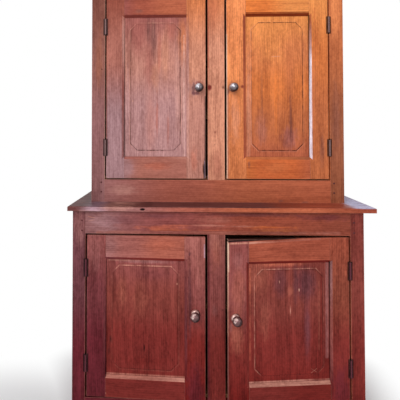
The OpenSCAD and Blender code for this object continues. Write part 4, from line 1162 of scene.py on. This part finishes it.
class FinishPanels(bpy.types.Operator):
    """Stains the raised panels and marks the outlines of their fields"""
    bl_idname = "cupboard.finish_panels"
    bl_label = "Finish the panels"

    def execute(self, context):
        for index, (node, tones) in enumerate(PANEL_TONES.items()):
            stained_wood(node, tones, "Z", index * 1.9 + 0.4)
        return {"FINISHED"}


class FinishInside(bpy.types.Operator):
    """Ages the unfinished shelves, bottoms, top and back boards"""
    bl_idname = "cupboard.finish_inside"
    bl_label = "Finish the inside"

    def execute(self, context):
        level = ("lower_bottom", "lower_shelf", "upper_bottom", "upper_shelves", "upper_top")
        for index, node in enumerate(level):
            bare_wood(node, "X", index * 1.3)
        # The back boards are nailed to the boards that lie level before them
        nailed_to = {"lower": ("lower_bottom", "lower_shelf"), "upper": ("upper_bottom", "upper_top")}
        for index, (case, carriers) in enumerate(nailed_to.items()):
            boxes = [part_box(node) for node in carriers]
            rows = [(low.z + high.z) / 2 for low, high in boxes]
            bare_wood(case + "_back_boards", "Z", index * 2.1 + 9, rows)
        return {"FINISHED"}


class FinishPegs(bpy.types.Operator):
    """Darkens the pegs' end grain"""
    bl_idname = "cupboard.finish_pegs"
    bl_label = "Finish the pegs"

    def execute(self, context):
        material, build, shader = new_material("frame_pegs_finish", Specular_IOR_Level=0.2)
        pores = build.noise(build.coordinate("Object"), scale=900, detail=3)
        colour = build.mix(build.remap(pores, 0.35, 0.65), paint("grime"), paint("oxblood"))
        build.surface(shader, 0.0002, 0.5, pores, Base_Color=colour,
                      Roughness=build.remap(pores, 0.3, 0.7, 0.75, 0.55))
        dress("frame_pegs", material)
        return {"FINISHED"}


class FinishIron(bpy.types.Operator):
    """Blackens the hinges, their pins and the latch bars"""
    bl_idname = "cupboard.finish_iron"
    bl_label = "Finish the ironwork"

    def execute(self, context):
        for node in frame["nodes"]:
            if node == "hinge_pins" or node.endswith(("hinge_leaves", "latch_bar")):
                dress(node, ironwork())
        return {"FINISHED"}


class FinishKnobs(bpy.types.Operator):
    """Tarnishes the nickel knobs and paints their highlights and shade"""
    bl_idname = "cupboard.finish_knobs"
    bl_label = "Finish the knobs"

    def execute(self, context):
        for door in DOORS:
            dress(door + "_knob", nickel_with_painted_light(door))
        return {"FINISHED"}


# New pieces and the stage
def as_object(name, data):
    """A new object in the scene, from its mesh, lamp or camera"""
    made = bpy.data.objects.new(name, data)
    bpy.context.scene.collection.objects.link(made)
    return made


def as_mesh(name, shape, material):
    """Makes a mesh with a material of a shape that has been built"""
    mesh = bpy.data.meshes.new(name)
    shape.to_mesh(mesh)
    shape.free()
    mesh.materials.append(material)
    return mesh


def add_screw(shape, centre, out, turn):
    """Slotted screw head, facing the way that out points: two halves of a disc over a lower ground"""
    radius = 0.0030
    proud = 0.0003
    slot_w = 0.0007
    steps = 10
    up = Vector((0, 0, 1))
    across = up.cross(out).normalized()
    slot_way = across * math.cos(turn) + up * math.sin(turn)
    side_way = out.cross(slot_way)
    start = math.asin(slot_w / 2 / radius)

    def ring(side, size, height):
        angles = [start + (math.pi - 2 * start) * i / steps for i in range(steps + 1)]
        return [shape.verts.new(centre + out * height + slot_way * size * math.cos(a)
                                + side_way * side * max(size * math.sin(a), slot_w / 2)) for a in angles]

    def wall(low, high):
        """Faces all the way round, from one ring of points to the next"""
        count = len(low)
        for i in range(count):
            shape.faces.new((low[i], low[(i + 1) % count], high[(i + 1) % count], high[i]))

    for side in (-1, 1):
        rings = [ring(side, radius, 0), ring(side, radius, proud * 0.6), ring(side, radius * 0.85, proud)]
        for low, high in zip(rings, rings[1:]):
            wall(low, high)
        shape.faces.new(rings[-1])
        shape.faces.new(rings[0][::-1])
    # The ground of the slot fills the gap between the halves
    ground = [centre + out * proud * 0.3 + slot_way * s * radius * 0.97 + side_way * t * slot_w * 0.6
              for s, t in ((-1, -1), (1, -1), (1, 1), (-1, 1))]
    base = [point - out * proud * 0.25 for point in ground]
    upper = [shape.verts.new(point) for point in ground]
    lower = [shape.verts.new(point) for point in base]
    shape.faces.new(upper)
    shape.faces.new(lower[::-1])
    wall(lower, upper)
    bmesh.ops.recalc_face_normals(shape, faces=shape.faces)


def add_screws(name, shape, body):
    """Screws, as one piece that rides on a body"""
    piece = as_object(name, as_mesh(name, shape, ironwork()))
    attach(piece, body)


class AddHingeScrews(bpy.types.Operator):
    """Puts three slotted screws in each leaf of each hinge"""
    bl_idname = "cupboard.add_hinge_screws"
    bl_label = "Add the hinge screws"

    def execute(self, context):
        hinge_h = 0.066
        leaf_depth = 0.0174
        leaf_face = 0.0013
        spacing = 0.022
        outer_back = 0.002
        middle_forward = 0.003
        on_case = bmesh.new()
        for door in DOORS:
            pivot = Vector(JOINTS[door + "_door_swing"]["pos_m"])
            low, high = shut_box(door + "_door_hinge_leaves")
            inward = Vector((-1 if door.endswith("right") else 1, 0, 0))
            depth = high.y - leaf_depth / 2
            on_door = bmesh.new()
            for middle in (low.z + hinge_h / 2, high.z - hinge_h / 2):
                for step in (-1, 0, 1):
                    # The middle screw stands nearer to the pin, and each slot has its own turn
                    y = depth + (outer_back if step else -middle_forward)
                    place = Vector((pivot.x, y, middle + step * spacing))
                    turn = 0.6 + 1.1 * step + middle * 3
                    add_screw(on_case, place - inward * leaf_face, inward, turn)
                    add_screw(on_door, place + inward * leaf_face, -inward, turn + 1)
            bmesh.ops.transform(on_door, matrix=shut_matrix(door).inverted(), verts=on_door.verts)
            add_screws(door + "_door_screws", on_door, door + "_door")
        add_screws("case_hinge_screws", on_case, "case")
        return {"FINISHED"}


def white_to_the_eye(build):
    """One where the camera, a reflection or glass looks at the stage, and nought for its light"""
    path = build.add("ShaderNodeLightPath").outputs
    bounced = build.sum("MAXIMUM", path["Is Glossy Ray"], path["Is Transmission Ray"])
    return build.sum("MAXIMUM", path["Is Camera Ray"], bounced)


class SetStage(bpy.types.Operator):
    """Sets the floor, the backdrop, the lamps and the camera"""
    bl_idname = "cupboard.set_stage"
    bl_label = "Set the stage"

    def execute(self, context):
        stage = context.scene.cupboard_stage
        self.add_floor(stage)
        self.add_light(context, stage)
        self.add_camera(context, stage)
        context.scene.view_settings.view_transform = "Standard"
        return {"FINISHED"}

    def add_floor(self, stage):
        """A floor with a pale backdrop that curves up behind"""
        half_w = 9.0
        front = -9.0
        back = 9.0
        top = 7.0
        bend = 1.6
        steps = 12
        profile = [(front, 0.0)]
        for step in range(steps + 1):
            a = math.pi / 2 * step / steps
            profile.append((back - bend + bend * math.sin(a), bend - bend * math.cos(a)))
        profile.append((back, top))
        shape = bmesh.new()
        rows = [[shape.verts.new((x, y, z)) for x in (-half_w, half_w)] for y, z in profile]
        for near, far in zip(rows, rows[1:]):
            shape.faces.new((near[0], near[1], far[1], far[0]))
        mesh = as_mesh("floor_and_backdrop", shape, self.floor_finish(stage))
        for face in mesh.polygons:
            face.use_smooth = True
        as_object("floor_and_backdrop", mesh)

    def floor_finish(self, stage):
        """Keeps the shade round the cupboard and before its left foot, and fades to white elsewhere"""
        material, build, shader = new_material(
            "floor_finish", Base_Color=(*stage.floor, 1), Roughness=0.9, Specular_IOR_Level=0.1)
        place = build.coordinate("Object")
        middle = (stage.shade_x, stage.shade_y, 0)
        away = build.vector("LENGTH", build.vector("SUBTRACT", place, middle))
        far = build.remap(away, stage.shade_reach * 0.4, stage.shade_reach, smooth=True)
        low, high = (Vector(corner) for corner in CAD_BOX)
        from_middle = build.vector("ABSOLUTE", build.vector("SUBTRACT", place, (low + high) / 2))
        outside = build.vector("MAXIMUM", build.vector("SUBTRACT", from_middle, (high - low) / 2), (0, 0, 0))
        beside = build.remap(build.vector("LENGTH", outside), 0.0, stage.shadow_reach, smooth=True)
        white = build.times(white_to_the_eye(build), build.sum("MINIMUM", far, beside))
        glow = build.add("ShaderNodeEmission", Color=(1, 1, 1, 1), Strength=1.0).outputs[0]
        nodes = material.node_tree.nodes
        plain = nodes["Principled BSDF"].outputs[0]
        blend = build.add("ShaderNodeMixShader")
        for socket, value in zip(blend.inputs, (white, plain, glow)):
            build.feed(socket, value)
        build.feed(nodes["Material Output"].inputs[0], blend.outputs[0])
        return material

    def add_light(self, context, stage):
        world = bpy.data.worlds.new("daylight")
        context.scene.world = world
        world.use_nodes = True
        build = Nodes(world.node_tree)
        sky = world.node_tree.nodes["Background"].inputs
        strength = build.remap(white_to_the_eye(build), 0, 1, stage.daylight, 1.0)
        build.feed_all(sky, {"Color": (1, 1, 1, 1), "Strength": strength})
        aim = Vector((0, 0, 0.95))
        for name, place, size, power in (
                ("key_lamp", Vector((-1.8, -4.2, 3.4)), 3.0, stage.key_power),
                ("fill_lamp", Vector((2.6, -3.0, 2.0)), 2.4, stage.fill_power)):
            lamp = bpy.data.lights.new(name, "AREA")
            lamp.shape = "SQUARE"
            lamp.size = size
            lamp.energy = power
            holder = as_object(name, lamp)
            holder.location = place
            holder.rotation_euler = (aim - place).to_track_quat("-Z", "Y").to_euler()

    def add_camera(self, context, stage):
        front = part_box("lower_top_rail")[0].y
        ledge_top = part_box("ledge")[1].z
        data = bpy.data.cameras.new("camera")
        data.sensor_width = 36
        data.lens = stage.lens
        data.shift_x = stage.shift_x
        data.shift_y = stage.shift_y
        camera = as_object("camera", data)
        camera.location = (stage.camera_x, front - stage.camera_back, ledge_top + stage.camera_above)
        camera.rotation_euler = (math.pi / 2 + stage.look_up, 0, stage.look_left)
        context.scene.camera = camera


class CupboardPanel(bpy.types.Panel):
    """Lists the cupboard's steps and settings"""
    bl_idname = "VIEW3D_PT_cupboard"
    bl_label = "Step-back cupboard"
    bl_space_type = "VIEW_3D"
    bl_region_type = "UI"
    bl_category = "Cupboard"

    def draw(self, context):
        for step in STEPS:
            self.layout.operator(step.bl_idname)
        for name in SETTINGS:
            group = getattr(context.scene, name)
            box = self.layout.box()
            for key in group.bl_rna.properties.keys():
                if key not in ("rna_type", "name"):
                    box.prop(group, key)


STEPS = (SetStage, FinishLowerCase, FinishUpperCase, FinishDoors, FinishPanels, FinishInside, FinishPegs,
         FinishIron, FinishKnobs, AddHingeScrews)
SETTINGS = {"cupboard_tones": CupboardTones, "cupboard_finish": CupboardFinish,
            "cupboard_stage": CupboardStage}


def register():
    for kind in (*SETTINGS.values(), *STEPS, CupboardPanel):
        bpy.utils.register_class(kind)
    for name, kind in SETTINGS.items():
        setattr(bpy.types.Scene, name, bpy.props.PointerProperty(type=kind))


def unregister():
    for name in SETTINGS:
        delattr(bpy.types.Scene, name)
    for kind in reversed((*SETTINGS.values(), *STEPS, CupboardPanel)):
        bpy.utils.unregister_class(kind)


def main():
    """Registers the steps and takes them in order"""
    register()
    for step in STEPS:
        group, name = step.bl_idname.split(".")
        getattr(getattr(bpy.ops, group), name)()


if __name__ == "__main__":
    main()
